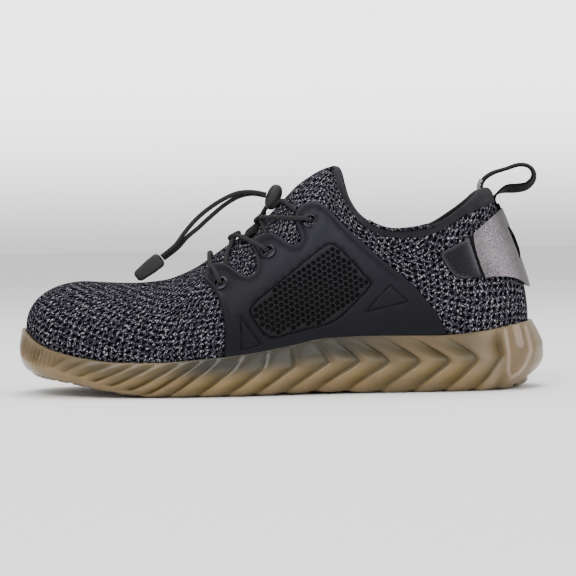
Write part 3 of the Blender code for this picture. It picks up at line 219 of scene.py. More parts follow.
sole = {
    "edgeHeight": 0.0379,
    "toeSpring": 0.0125,
    "undercut": 0.0100,
    "cupWall": 0.0021,
    "tuck": 0.0015,
    "footbed": 0.0220,
    "archLift": 0.0022,
    "ribDepth": 0.0019,
    "treadDepth": 0.0024,
    "sideNotch": 0.0007,
    "treadWave": 0.0045,
    "treadColumns": 20,
    "pleatPitch": 0.0031,
    "markRelief": 0.0009,
    "ribLean": 0.0200,
    "ribs": 25,
    "levels": 34,
    "knee": 0.56,
}
soleEdge = table("around height", [
    (0.000, 0.976), (0.045, 0.925), (0.090, 0.800), (0.130, 0.690), (0.190, 0.580), (0.250, 0.517),
    (0.310, 0.507), (0.400, 0.560), (0.450, 0.605), (0.530, 0.724), (0.585, 0.822), (0.650, 0.840),
    (0.770, 0.829), (0.840, 0.880), (0.920, 0.972), (1.000, 1.000),
])
ground = table("along lift", [
    (0.000, 1.00), (0.060, 0.76), (0.117, 0.54), (0.150, 0.37), (0.190, 0.20), (0.230, 0.07),
    (0.270, 0.00), (0.900, 0.00), (0.930, 0.05), (0.960, 0.20), (1.000, 0.60),
])
arch = table("along lift", [(0.43, 0.0), (0.50, 0.55), (0.58, 1.0), (0.64, 0.6), (0.70, 0.0)])
footbed = table("along height", [
    (0.0, 1.06), (0.1, 0.76), (0.2, 0.57), (0.3, 0.50), (0.4, 0.52), (0.5, 0.68), (0.6, 0.86),
    (0.7, 0.95), (1.0, 1.0),
])
soleSide = table("level toe heel", [
    (0.00, 0.72, 0.90), (0.12, 0.30, 0.33), (0.33, 0.08, 0.00), (0.56, 0.00, 0.02),
    (0.78, 0.06, 0.28), (1.00, 0.16, 0.63),
])
heelBlend = table("around share", [(0.0, 0.0), (0.12, 0.35), (0.80, 0.50), (1.0, 1.0)])
ribFeet = table("rib around", [(0, 0.0), (3, 0.080), (6, 0.132), (14, 0.472), (22, 0.868), (25, 1.0)])
ribSlant = table("around lower upper power depth", [
    (0.00, 0.00, 0.00, 1.00, 0.12), (0.06, 0.05, 0.02, 0.90, 0.20), (0.10, 0.85, 0.45, 0.70, 0.50),
    (0.15, 1.35, 0.75, 0.62, 0.85), (0.24, 1.30, 0.75, 0.68, 1.00), (0.36, 0.80, 0.55, 1.00, 1.00),
    (0.46, 1.00, 0.05, 1.20, 1.00), (0.54, 1.25, -0.60, 1.35, 1.00), (0.63, 1.20, -1.05, 1.30, 1.00),
    (0.73, 1.10, -1.15, 1.20, 1.00), (0.77, 1.00, -1.00, 1.10, 0.95),
    (0.815, 0.85, -0.10, 1.00, 0.95), (0.87, 0.65, 0.25, 1.00, 0.90), (0.94, 0.30, 0.05, 1.00, 0.30),
    (1.00, 0.00, 0.00, 1.00, 0.10),
])
ribPhases = (0.0, 0.03, 0.075, 0.13, 0.22, 0.34, 0.46, 0.58, 0.70, 0.80, 0.89, 0.96)
ribRise = table("phase depth", [
    (0.0, 1.0), (0.03, 0.86), (0.075, 0.50), (0.13, 0.16), (0.22, 0.0), (0.34, 0.03), (0.58, 0.30),
    (0.80, 0.66), (0.96, 0.96), (1.0, 1.0),
])
heelMark = [  # x and height of the raised mark's line, then of the drop inside it
    (0.1271, 0.0340), (0.1266, 0.0200), (0.1263, 0.0109), (0.1286, 0.0066), (0.1330, 0.0092),
    (0.1368, 0.0142), (0.1399, 0.0214), (0.1408, 0.0345),
]
heelDrop = [(0.1345, 0.0350), (0.1345, 0.0262)]
tipBand = table("x level", [
    (-0.125, 0.50), (-0.1198, 0.42), (-0.1055, 0.30), (-0.0928, 0.22), (-0.079, 0.10), (-0.065, -0.1),
])
ribFade = table("level depth", [(0.0, 0.5), (0.26, 1.0), (0.71, 1.0), (0.88, 0.55), (1.0, 0.0)])


def edgeHeight(around):
    return sole["edgeHeight"] * read(soleEdge, "height", around)


def footbedHeight(x):
    return sole["footbed"] * read(footbed, "height", alongOf(x))


def groundHeight(x, side):
    along = alongOf(x)
    lift = sole["archLift"] * read(arch, "lift", along) * (1.0 if side == inner else 0.6)
    return sole["toeSpring"] * read(ground, "lift", along) + (lift if 0.43 < along < 0.70 else 0.0)


def sideInset(level, around):
    heel = read(heelBlend, "share", around)
    toe, back = read(soleSide, "toe", level), read(soleSide, "heel", level)
    return sole["undercut"] * (toe * (1 - heel) + back * heel)


def ridgeHeight(along):
    climb = shoe["instepHeight"] - shoe["toeBoxHeight"]
    return shoe["toeBoxHeight"] + read(ridge, "rise", along) * climb


def ridgeAside(along):
    return shoe["ridgeOffset"] * (1 - float(smooth(0.30, shoe["collarFront"], along)))


def ridgePoint(around):
    along = read(ridgeMatch, "along", around)
    return np.array([planX(along), ridgeAside(along), ridgeHeight(along)])


def section(side, around):
    spot, normal = planPoint(side, around)
    inset = sideInset(1.0, around) + sole["cupWall"] + shoe["gap"]
    line = np.array([*(spot - normal * inset), edgeHeight(around)])
    foot = spot - normal * (inset + sole["tuck"])
    feather = np.array([*foot, footbedHeight(foot[0]) + shoe["gap"]])
    if around <= shoe["throatEnd"]:
        crown = ridgePoint(around)
    else:
        crown = pointAt(rimSides[side], rimRuns[side],
                        (around - shoe["throatEnd"]) / (1 - shoe["throatEnd"]))
    sideways = float(smooth(0.0, 0.30, around) * (1 - smooth(0.72, 1.0, around)))
    out = normal * (1 - sideways) + np.array([0.0, side]) * sideways
    out = out / np.linalg.norm(out)
    height = crown[2] - line[2]
    rise, swell, reach, drop = (read(sections, key, around) for key in ("rise", "swell", "reach", "drop"))
    low = line + np.array([*(normal * swell * halfBall), rise * height])
    high = crown + np.array([*(out * reach * halfBall), -drop * height])
    return feather, line, low, high, crown


def buildSurface():
    n, rows = shoe["stations"], shoe["rowsAbove"]
    ring = [(outer, i / n) for i in range(n + 1)] + [(inner, i / n) for i in range(n - 1, 0, -1)]
    points = np.zeros((len(ring), rows + 2, 3))
    t = (np.arange(rows + 1) / rows)[:, None]
    for k, (side, around) in enumerate(ring):
        feather, line, low, high, crown = section(side, around)
        points[k, 0] = feather
        points[k, 1:] = (line * (1 - t) ** 3 + low * 3 * t * (1 - t) ** 2
                         + high * 3 * t * t * (1 - t) + crown * t**3)
    count, last = len(ring), rows + 1
    aroundStep = np.roll(points, -1, axis=0) - np.roll(points, 1, axis=0)
    upStep = np.zeros_like(points)
    upStep[:, 1:-1] = points[:, 2:] - points[:, :-2]
    upStep[:, 0], upStep[:, -1] = points[:, 1] - points[:, 0], points[:, -1] - points[:, -2]
    for k in range(1, n):
        if k / n <= shoe["throatEnd"]:
            upStep[k, last] = points[count - k, last - 1] - points[k, last - 1]
            upStep[count - k, last] = -upStep[k, last]
    normals = np.cross(aroundStep, upStep)
    normals /= np.maximum(np.linalg.norm(normals, axis=2), 1e-12)[:, :, None]
    normals[0, last] = (0, 0, 1)
    return points, normals


lastPoints, lastNormals = buildSurface()
ringCount, topRow = len(lastPoints), lastPoints.shape[1] - 1
print("last surface", ringCount, "stations")


def onLast(side, around, up, lift=0.0):
    k = around * shoe["stations"]
    low = min(int(k), shoe["stations"] - 1)
    row = 1 + up * shoe["rowsAbove"]
    step = min(int(row), topRow - 1)
    found = np.zeros(3)
    for index, weight in ((low, 1 - k + low), (low + 1, k - low)):
        at = index % ringCount if side == outer else (ringCount - index) % ringCount
        for level, share in ((step, 1 - row + step), (step + 1, row - step)):
            found += weight * share * (lastPoints[at, level] + lastNormals[at, level] * lift)
    return found


def lastNormal(side, around, up):
    n = onLast(side, around, up, 0.001) - onLast(side, around, up)
    return n / np.linalg.norm(n)


sideOrder = {side: [side * -i % ringCount for i in range(shoe["stations"] + 1)]
             for side in (outer, inner)}
sideRings = {side: lastPoints[order] for side, order in sideOrder.items()}
sideNormals = {side: lastNormals[order] for side, order in sideOrder.items()}


def locate(side, x, z):
    # share around and up of the place that the side view shows at (x, z)
    grid = sideRings[side]
    xs, ups = [], []
    for k in range(len(grid)):
        zs = grid[k, 1:, 2]
        up = np.interp(z, zs, np.arange(len(zs)) / (len(zs) - 1))
        ups.append(up)
        xs.append(np.interp(up, np.arange(len(zs)) / (len(zs) - 1), grid[k, 1:, 0]))
    xs = np.maximum.accumulate(np.array(xs))
    around = float(np.interp(x, xs, np.arange(len(xs)) / (len(xs) - 1)))
    k = around * shoe["stations"]
    low = min(int(k), shoe["stations"] - 1)
    return around, float(ups[low] * (1 - k + low) + ups[low + 1] * (k - low))


def sideTree(side):
    grid = sideRings[side]
    rows = grid.shape[1]
    starts = [k * rows + r for k in range(len(grid) - 1) for r in range(1, rows - 1)]
    faces = [(a, a + rows, a + rows + 1, a + 1) for a in starts]
    return BVHTree.FromPolygons([Vector(p) for p in grid.reshape(-1, 3)], faces)


sideTrees = {side: sideTree(side) for side in (outer, inner)}


def dropOn(side, x, z):
    # where a line across the shoe at (x, z) meets the last, and its smooth normal
    hit = sideTrees[side].ray_cast(Vector((x, side * 0.2, z)), Vector((0, -side, 0)))
    if hit[0] is None:
        hit = sideTrees[side].find_nearest(Vector((x, side * 0.03, z)))
    point, face = hit[0], hit[2]
    rows = sideRings[side].shape[1]
    k, r = divmod(face, rows - 2)
    r += 1
    total = np.zeros(3)
    for i, j in ((k, r), (k + 1, r), (k, r + 1), (k + 1, r + 1)):
        w = 1 / (np.linalg.norm(sideRings[side][i, j] - np.array(point)) + 1e-5) ** 2
        total += sideNormals[side][i, j] * w
    return np.array(point), total / np.linalg.norm(total)


def onSide(side, x, z, lift):
    spot, normal = dropOn(side, x, z)
    return spot + normal * lift


# Mesh helpers

def link(name, mesh):
    obj = bpy.data.objects.new(name, mesh)
    scene.collection.objects.link(obj)
    return obj


def finishMesh(name, vertices, faces, material, weld=1e-6, shade=True, uv=None, values=None):
    mesh = bpy.data.meshes.new(name)
    mesh.from_pydata([tuple(v) for v in vertices], [], faces)
    if uv is not None:
        layer = mesh.uv_layers.new(name="weave")
        for loop in mesh.loops:
            layer.data[loop.index].uv = uv[loop.vertex_index]
    for key, data in (values or {}).items():
        attribute = mesh.attributes.new(key, "FLOAT", "POINT")
        attribute.data.foreach_set("value", np.array(data, float))
    work = bmesh.new()
    work.from_mesh(mesh)
    bmesh.ops.remove_doubles(work, verts=work.verts, dist=weld)
    bmesh.ops.recalc_face_normals(work, faces=work.faces)
    work.to_mesh(mesh)
    work.free()
    for face in mesh.polygons:
        face.use_smooth = shade
    mesh.materials.append(material)
    return link(name, mesh)


def gridFaces(rows, columns, start=0):
    faces = []
    for i in range(rows - 1):
        for j in range(columns - 1):
            a = start + i * columns + j
            faces.append((a, a + columns, a + columns + 1, a + 1))
    return faces


def place(obj, slotName, *nodes):
    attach(obj, "root")
    if nodes:
        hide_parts(*nodes)
    return obj


def addWall(obj, name, thick):
    shell = obj.modifiers.new(name, "SOLIDIFY")
    shell.thickness, shell.offset = thick, -1.0


def softenEdges(obj, name):
    bevel = obj.modifiers.new(name, "BEVEL")
    bevel.width, bevel.segments, bevel.limit_method = 0.0003, 2, "ANGLE"


def ringFaces(rings, sides):
    faces = []
    for i in range(rings):
        for k in range(sides):
            a, b = i * sides + k, i * sides + (k + 1) % sides
            faces.append((a, b, b + sides, a + sides))
    return faces


# Shader helpers

def feed(tree, socket, value):
    if isinstance(value, bpy.types.NodeSocket):
        tree.links.new(value, socket)
    else:
        socket.default_value = value


def addNode(tree, kind, inputs=None, **settings):
    made = tree.nodes.new(kind)
    for key, value in settings.items():
        setattr(made, key, value)
    for key, value in (inputs or {}).items():
        feed(tree, made.inputs[key], value)
    return made


def calc(tree, operation, *values):
    return addNode(tree, "ShaderNodeMath", dict(enumerate(values)), operation=operation).outputs[0]


def plus(tree, first, second):
    return calc(tree, "ADD", first, second)


def minus(tree, first, second):
    return calc(tree, "SUBTRACT", first, second)


def times(tree, first, second):
    return calc(tree, "MULTIPLY", first, second)


def softStep(tree, value, low, high):
    return addNode(tree, "ShaderNodeMapRange", {"Value": value, "From Min": low, "From Max": high},
                   interpolation_type="SMOOTHSTEP").outputs["Result"]


def mixColour(tree, factor, first, second):
    return addNode(tree, "ShaderNodeMix", {0: factor, 6: first, 7: second}, data_type="RGBA").outputs[2]


def shaded(colour, share):
    return tuple(c * share for c in colour[:3]) + (1.0,)


def rampOf(tree, factor, *stops):
    made = addNode(tree, "ShaderNodeValToRGB", {"Fac": factor})
    marks = made.color_ramp.elements
    for mark, (position, colour) in ((marks[0], stops[0]), (marks[1], stops[-1])):
        mark.position, mark.color = position, colour
    for position, colour in stops[1:-1]:
        marks.new(position).color = colour
    return made.outputs["Color"]


def inPlace(tree):
    return addNode(tree, "ShaderNodeTexCoord").outputs["Object"]


def heightIn(tree, where, axis="Z"):
    return addNode(tree, "ShaderNodeSeparateXYZ", {"Vector": where}).outputs[axis]


def cloudsIn(tree, where, scale, detail):
    return addNode(tree, "ShaderNodeTexNoise",
                   {"Vector": where, "Scale": scale, "Detail": detail}).outputs["Fac"]


def fromMesh(tree, name):
    return addNode(tree, "ShaderNodeAttribute", attribute_name=name).outputs["Fac"]


def newMaterial(name, roughness, metallic=0.0, **sockets):
    made = bpy.data.materials.new(name)
    made.use_nodes = True
    shader = made.node_tree.nodes["Principled BSDF"]
    for key, value in {"Roughness": roughness, "Metallic": metallic, **sockets}.items():
        shader.inputs[key.replace("_", " ")].default_value = value
    return made, made.node_tree, shader


def dress(tree, shader, colour, bump=None, rough=None):
    # bump is a height, its strength and its depth in metres
    tree.links.new(colour, shader.inputs["Base Color"])
    if rough is not None:
        tree.links.new(rough, shader.inputs["Roughness"])
    if bump is not None:
        made = addNode(tree, "ShaderNodeBump", dict(zip(("Height", "Strength", "Distance"), bump)))
        tree.links.new(made.outputs["Normal"], shader.inputs["Normal"])


def weaveGroup():
    # looped knit: columns of loops, each half a course lower than the last, a dark hole in every loop
    # and strands that slant to either side of it
    tree = bpy.data.node_groups.new("knitLoops", "ShaderNodeTree")
    tree.interface.new_socket("Vector", in_out="INPUT", socket_type="NodeSocketVector")
    for name, size in (("Wale", 0.0038), ("Course", 0.0035), ("Wander", 0.44)):
        tree.interface.new_socket(name, in_out="INPUT",
                                  socket_type="NodeSocketFloat").default_value = size
    for name in ("Hole", "Strand", "Height"):
        tree.interface.new_socket(name, in_out="OUTPUT", socket_type="NodeSocketFloat")
    ins, outs = tree.nodes.new("NodeGroupInput"), tree.nodes.new("NodeGroupOutput")
    vector, wale, course, wander = ins.outputs[:4]
    noisy = addNode(tree, "ShaderNodeTexNoise", {"Vector": vector, "Scale": 430.0, "Detail": 2.0})
    shift = addNode(tree, "ShaderNodeSeparateColor", {"Color": noisy.outputs["Color"]}).outputs
    flat = addNode(tree, "ShaderNodeSeparateXYZ", {"Vector": vector}).outputs
    u, v = [plus(tree, calc(tree, "DIVIDE", flat[i], size),
                 times(tree, minus(tree, shift[i], 0.5), wander))
            for i, size in enumerate((wale, course))]
    stepped = plus(tree, v, times(tree, calc(tree, "MODULO", calc(tree, "FLOOR", u), 2.0), 0.5))
    acrossLoop, upLoop = [minus(tree, calc(tree, "FRACT", way), 0.5) for way in (u, stepped)]
    wide, tall = [calc(tree, "POWER", calc(tree, "DIVIDE", way, size), 2.0)
                  for way, size in ((acrossLoop, 0.36), (upLoop, 0.34))]
    hole = softStep(tree, plus(tree, wide, tall), 1.15, 0.30)
    side = calc(tree, "SIGN", acrossLoop)
    slantU = plus(tree, flat[0], times(tree, times(tree, flat[1], side), 0.9))
    slantV = minus(tree, flat[1], times(tree, times(tree, flat[0], side), 0.9))
    slanted = addNode(tree, "ShaderNodeCombineXYZ",
                      {0: times(tree, slantU, 1.25), 1: times(tree, slantV, 0.60), 2: side})
    strand = addNode(tree, "ShaderNodeTexNoise", {
        "Vector": slanted.outputs[0], "Scale": 820.0, "Detail": 2.0, "Roughness": 0.65}).outputs["Fac"]
    tree.links.new(hole, outs.inputs["Hole"])
    tree.links.new(strand, outs.inputs["Strand"])
    tree.links.new(minus(tree, strand, times(tree, hole, 0.9)), outs.inputs["Height"])
    return tree


knitLoops = weaveGroup()


def knitMaterial():
    made, tree, shader = newMaterial("melangeKnit", 0.95, Specular_IOR_Level=0.0)
    uv = addNode(tree, "ShaderNodeUVMap", uv_map="weave").outputs["UV"]
    loops = addNode(tree, "ShaderNodeGroup", {"Vector": uv}, node_tree=knitLoops).outputs
    lighter = plus(tree, loops["Strand"], times(tree, fromMesh(tree, "paleKnitShare"), 0.09))
    yarn = rampOf(tree, lighter, (0.38, (0.0030, 0.0030, 0.0044, 1)), (0.50, (0.013, 0.0125, 0.018, 1)),
                  (0.57, (0.040, 0.038, 0.050, 1)), (0.64, (0.24, 0.235, 0.26, 1)),
                  (0.74, (0.80, 0.79, 0.82, 1)))
    colour = mixColour(tree, times(tree, loops["Hole"], 0.97), yarn, (0.0008, 0.0008, 0.0012, 1))
    dress(tree, shader, colour, (loops["Height"], 0.8, 0.0008))
    return made


def fineCloth(name, colour, scale, bumpHeight=0.0002):
    made, tree, shader = newMaterial(name, 0.9, Sheen_Weight=0.04, Specular_IOR_Level=0.12)
    where = inPlace(tree)
    weave = addNode(tree, "ShaderNodeTexVoronoi", {"Vector": where, "Scale": scale}).outputs["Distance"]
    mixed = mixColour(tree, weave, colour, shaded(colour, 1.9))
    patches = softStep(tree, cloudsIn(tree, where, 60.0, 3.0), 0.35, 0.7)
    dress(tree, shader, mixColour(tree, patches, mixed, shaded(colour, 0.75)), (weave, 0.6, bumpHeight))
    return made


def gumMaterial():
    # the relief value is 1 on a rib's crest and 0 in its groove, level 0 at the tread and 1 at the rim; it
    # paints shade into the grooves
    made, tree, shader = newMaterial("gumRubber", 0.34, Subsurface_Weight=0.18, Subsurface_Scale=0.003,
                                     Coat_Weight=0.10, Coat_Roughness=0.16, Specular_IOR_Level=0.28)
    shader.inputs["Subsurface Radius"].default_value = (1.0, 0.62, 0.30)
    reliefShade, level, along = (fromMesh(tree, name) for name in ("reliefShade", "level", "alongSole"))
    where = inPlace(tree)
    # painted shade: the amber ramp is darkest in the grooves and palest on the crests
    amber = rampOf(tree, reliefShade, (0.0, (0.044, 0.027, 0.0038, 1)), (0.28, (0.084, 0.053, 0.0100, 1)),
                   (0.62, (0.124, 0.083, 0.0260, 1)), (1.0, (0.190, 0.128, 0.060, 1)))
    cloudy = cloudsIn(tree, where, 45.0, 3.0)
    greenish = mixColour(tree, times(tree, softStep(tree, cloudy, 0.42, 0.70), 0.45), amber,
                         (0.082, 0.066, 0.032, 1))
    # the rim is darkest beside the overlay
    x = heightIn(tree, where, "X")
    beside = times(tree, softStep(tree, x, -0.070, -0.042), softStep(tree, x, 0.080, 0.030))
    middle = times(tree, minus(tree, 1.0, along), calc(tree, "MULTIPLY_ADD", beside, 0.48, 0.50))
    rim = times(tree, softStep(tree, level, 0.36, 0.80), middle)
    edge = mixColour(tree, rim, greenish, (0.021, 0.0190, 0.0120, 1))
    # painted highlight: the crests are painted pale towards the heel and the toe
    crest = times(tree, calc(tree, "POWER", reliefShade, 2.0), 0.85)
    crestHighlight = mixColour(tree, times(tree, along, crest), edge, (0.270, 0.200, 0.148, 1))
    dress(tree, shader, crestHighlight, (cloudsIn(tree, where, 600.0, 2.0), 0.12, 0.0002),
          plus(tree, 0.24, times(tree, cloudy, 0.16)))
    return made


def mouldedMaterial(name, high, low):
    # painted light: paler towards the throat, as if lit from above, and painted shade in the grooves and
    # hollows that the mesh marks
    made, tree, shader = newMaterial(name, 0.5, Specular_IOR_Level=0.10)
    where = inPlace(tree)
    cloudy = cloudsIn(tree, where, 40.0, 4.0)
    rise = plus(tree, heightIn(tree, where), times(tree, minus(tree, cloudy, 0.5), 0.02))
    colour = mixColour(tree, softStep(tree, rise, 0.030, 0.100), low, high)
    recessShaded = mixColour(tree, times(tree, fromMesh(tree, "recessShade"), 0.92), colour,
                        (0.0006, 0.0006, 0.0010, 1))
    dress(tree, shader, recessShaded, (cloudsIn(tree, where, 2600.0, 1.0), 0.25, 0.00008),
          plus(tree, 0.42, times(tree, cloudy, 0.14)))
    return made


def leatherMaterial(name, colour, roughness, coat, grainDepth, specular):
    # the mesh may give a painted highlight along a fold, a paler line along a rim, and painted shade in a
    # gap or where the leather turns away
    made, tree, shader = newMaterial(name, roughness, Coat_Weight=coat, Coat_Roughness=0.35,
                                     Specular_IOR_Level=specular)
    where = inPlace(tree)
    pebble = addNode(tree, "ShaderNodeTexVoronoi", {"Vector": where, "Scale": 1100.0}).outputs["Distance"]
    patches = softStep(tree, cloudsIn(tree, where, 110.0, 5.0), 0.3, 0.72)
    specks = softStep(tree, cloudsIn(tree, where, 1300.0, 1.0), 0.42, 0.66)
    grainy = mixColour(tree, specks, mixColour(tree, patches, shaded(colour, 0.66), colour),
                       shaded(colour, 1.9))
    lit = mixColour(tree, fromMesh(tree, "pale"), grainy, (0.085, 0.082, 0.098, 1))
    dress(tree, shader, mixColour(tree, fromMesh(tree, "shade"), lit, (0.0010, 0.0010, 0.0014, 1)),
          (pebble, 0.5, grainDepth))
    return made


def braidMaterial(name, colour, pitch, light=2.2):
    # woven tape and braided cord: u runs round or across, v along, both in metres
    made, tree, shader = newMaterial(name, 0.72, Sheen_Weight=0.015, Specular_IOR_Level=0.08)
    uv = addNode(tree, "ShaderNodeUVMap", uv_map="weave").outputs["UV"]
    u, v = addNode(tree, "ShaderNodeSeparateXYZ", {"Vector": uv}).outputs[:2]
    ways = [calc(tree, "SINE", times(tree, calc(tree, way, u, v), 2 * math.pi / pitch))
            for way in ("ADD", "SUBTRACT")]
    height = calc(tree, "MAXIMUM", *ways)
    dress(tree, shader, mixColour(tree, softStep(tree, height, -0.4, 1.0), shaded(colour, 0.45),
                                  shaded(colour, light)),
          (height, 0.5, 0.00018))
    return made


def plasticMaterial(name, colour, roughness):
    made, tree, shader = newMaterial(name, roughness, Specular_IOR_Level=0.3)
    cloudy = cloudsIn(tree, inPlace(tree), 320.0, 4.0)
    dress(tree, shader, mixColour(tree, cloudy, colour, shaded(colour, 1.5)), (cloudy, 0.2, 0.0001))
    return made


def nickelMaterial():
    made, tree, shader = newMaterial("blackNickel", 0.22, 1.0)
    worn = cloudsIn(tree, inPlace(tree), 900.0, 3.0)
    dress(tree, shader, mixColour(tree, worn, (0.010, 0.010, 0.012, 1), (0.045, 0.045, 0.052, 1)),
          rough=plus(tree, 0.14, times(tree, worn, 0.18)))
    return made


knit, gum, nickel = knitMaterial(), gumMaterial(), nickelMaterial()
# each moulded finish takes a painted lit colour for its top and a painted shaded colour lower down
overlay = mouldedMaterial("slateOverlay", (0.0165, 0.0155, 0.0220, 1), (0.0050, 0.0050, 0.0072, 1))
panelFilm = mouldedMaterial("ventFilm", (0.0150, 0.0145, 0.0190, 1), (0.0060, 0.0060, 0.0072, 1))
cuffCloth = fineCloth("cuffKnit", (0.0130, 0.0130, 0.0150, 1), 1500.0)
liningCloth = fineCloth("liningMesh", (0.0030, 0.0030, 0.0034, 1), 700.0, 0.0003)
boardCloth = fineCloth("footbedCloth", (0.008, 0.008, 0.009, 1), 1000.0)
# the strap is dark glossy leather, and its pale grey colour is its sheen painted in
strapLeather = leatherMaterial("sheenPaintedLeather", (0.162, 0.141, 0.154, 1), 0.42, 0.06, 0.00030, 0.25)
tabLeather = leatherMaterial("darkLeather", (0.0046, 0.0044, 0.0068, 1), 0.42, 0.03, 0.00010, 0.10)
laceCord = braidMaterial("elasticCord", (0.0135, 0.0130, 0.0138, 1), 0.0012)
webbing = braidMaterial("blackWebbing", (0.0020, 0.0020, 0.0022, 1), 0.0012, 1.5)
paleStitch = braidMaterial("paleStitching", (0.13, 0.13, 0.14, 1), 0.0022, 2.6)
darkThread = braidMaterial("greyThread", (0.055, 0.055, 0.062, 1), 0.0008, 1.6)
paleThread = braidMaterial("paleThread", (0.26, 0.26, 0.28, 1), 0.0008, 1.5)
beadPlastic = plasticMaterial("cordLockPlastic", (0.0110, 0.0110, 0.0120, 1), 0.5)
print("materials", len(bpy.data.materials))


# Camera and light

camera = {"distance": 1.146, "height": 0.095, "aim": (0.0046, 0.0, 0.058), "roll": -0.0155, "lens": 125.3}


def buildCamera():
    data = bpy.data.cameras.new("shoeCamera")
    data.lens, data.sensor_width = camera["lens"], 36.0
    data.clip_start, data.clip_end = 0.01, 20
    obj = link("shoeCamera", data)
    aim = Vector(camera["aim"])
    spot = Vector((aim.x, -camera["distance"], camera["height"]))
    obj.location = spot
    look = (aim - spot).to_track_quat("-Z", "Y").to_matrix().to_4x4()
    obj.rotation_euler = (look @ Matrix.Rotation(camera["roll"], 4, "Z")).to_euler()
    scene.camera = obj


studio = {"light": 1.0, "backdrop": 2.4, "lamps": 1.1}


def buildStudio():
    world = scene.world = bpy.data.worlds.new("paleStudio")
    world.use_nodes = True
    tree, sky = world.node_tree, world.node_tree.nodes["Background"]
    sky.inputs["Color"].default_value = (1.0, 1.0, 1.0, 1)
    # the backdrop that the camera sees grows paler upwards from the floor's far edge
    seen = addNode(tree, "ShaderNodeLightPath").outputs["Is Camera Ray"]
    upward = heightIn(tree, addNode(tree, "ShaderNodeTexCoord").outputs["Generated"])
    paler = times(tree, softStep(tree, upward, -0.02, 0.07), studio["backdrop"])
    tree.links.new(plus(tree, studio["light"], times(tree, seen, paler)), sky.inputs["Strength"])
    floor = finishMesh("paleFloor", [(-6, -6, 0), (6, -6, 0), (6, 6, 0), (-6, 6, 0)], [(0, 1, 2, 3)],
                       floorMaterial(), shade=False)
    lamps = {  # name: place, aim, size, watts
        "keyLamp": ((-0.5, -1.1, 1.25), (0.0, 0.0, 0.05), 0.9, 16.0),
        "fillLamp": ((0.9, -1.2, 0.5), (0.0, 0.0, 0.05), 0.9, 6.0),
        "topLamp": ((0.1, 0.3, 1.3), (0.0, 0.0, 0.05), 0.9, 12.0),
    }
    for name, (spot, aim, size, power) in lamps.items():
        data = bpy.data.lights.new(name, "AREA")
        data.size, data.energy = size, power * studio["lamps"]
        obj = link(name, data)
        obj.location = spot
        obj.rotation_euler = (Vector(aim) - Vector(spot)).to_track_quat("-Z", "Y").to_euler()


def floorMaterial():
    made, tree, shader = newMaterial("paleFloor", 0.9)
    cloudy = cloudsIn(tree, inPlace(tree), 3.0, 2.0)
    dress(tree, shader, mixColour(tree, cloudy, (0.90, 0.90, 0.90, 1), (0.93, 0.93, 0.93, 1)))
    return made


buildCamera()
buildStudio()


# Sole

def awayFrom(line, x, z):
    # distance in the side view from an open line
    spots = np.array(line)
    a, b = spots[:-1], spots[1:]
    edge = b - a
    t = np.clip(((np.array([x, z]) - a) * edge).sum(1) / (edge**2).sum(1), 0, 1)
    return float(np.linalg.norm(np.array([x, z]) - a - edge * t[:, None], axis=1).min())


def soleColumn(side, rib):
    base = read(ribFeet, "around", rib)
    lower, upper, power, depth = (read(ribSlant, key, base)
                                  for key in ("lower", "upper", "power", "depth"))
    phase = rib % 1.0
    # under its crests the wall has a sharp groove, a steep bank and a long back down to the next groove
    profile = read(ribRise, "depth", phase)
    length, knee, n = planRuns[side][-1], sole["knee"], sole["levels"]
    points, reliefShade, levels = [], [], []
    ends = rib <= 0 or rib >= sole["ribs"]
    pleats = float(smooth(0.030, 0.045, base) * (1 - smooth(0.080, 0.100, base)))
    for i in range(n + 1):
        level = i / n
        first = min(level / knee, 1.0) ** power
        above = max(level - knee, 0.0) / (1 - knee)
        corner = 0.10 * max(0.0, 1 - abs(level - knee) / 0.12) ** 2 * max(0.0, -upper)
        lean = (lower * first + upper * above - corner) * sole["ribLean"] / length
        around = base if ends else min(max(base + lean, 0.0), 1.0)
        spot, normal = planPoint(side, around)
        fade = ribsLeft = read(ribFade, "depth", level)
        # the forefoot's ribs start in rounded tips above a plain band, the heel's die out before the mark
        band = read(tipBand, "level", spot[0])
        heelFade = 1 - 0.85 * float(smooth(0.1225, 0.1262, spot[0]))
        fade *= float(smooth(band - 0.03, band + 0.06, level)) * heelFade
        wave = profile * depth * fade
        # fine upright pleats round the toe
        fold = 0.5 + 0.5 * math.cos(2 * math.pi * around * length / sole["pleatPitch"])
        wave += 0.50 * pleats * ribsLeft * float(smooth(0.35, 0.50, level)) * fold
        low = groundHeight(spot[0], side)
        z = low + (edgeHeight(around) - low) * level
        raised = 0.0
        if spot[0] > 0.12:  # the raised mark on the heel's side
            for line, core, end in ((heelMark, 0.0007, 0.0013), (heelDrop, 0.0019, 0.0026)):
                raised = max(raised, 1 - float(smooth(core, end, awayFrom(line, spot[0], z))))
        inset = sideInset(level, around) + wave * sole["ribDepth"] - raised * sole["markRelief"]
        x, y = spot - normal * inset
        notch = sole["sideNotch"] * max(0.0, 1 - min(phase, 1 - phase) / 0.30)
        notch *= max(0.0, 1 - level / 0.10)
        points.append((x, y, z + notch))
        # painted shadow darkens the heel's end, and the raised mark gets a painted highlight
        shadow = 1.0 - 0.42 * float(smooth(0.116, 0.124, spot[0]))
        reliefShade.append(min(1.0, max(0.0, 1 - wave) * shadow + 0.6 * raised))
        levels.append(level)
    # rolled lip and the start of the cup's inside
    spot, normal = planPoint(side, around)
    top = points[-1]
    for step, drop in ((0.0005, -0.0003), (0.0013, -0.0004), (0.0019, 0.0001), (0.0021, 0.0030)):
        points.append((top[0] - normal[0] * step, top[1] - normal[1] * step, top[2] - drop))
        reliefShade.append(0.7)
        levels.append(1.0)
    return points, reliefShade, levels


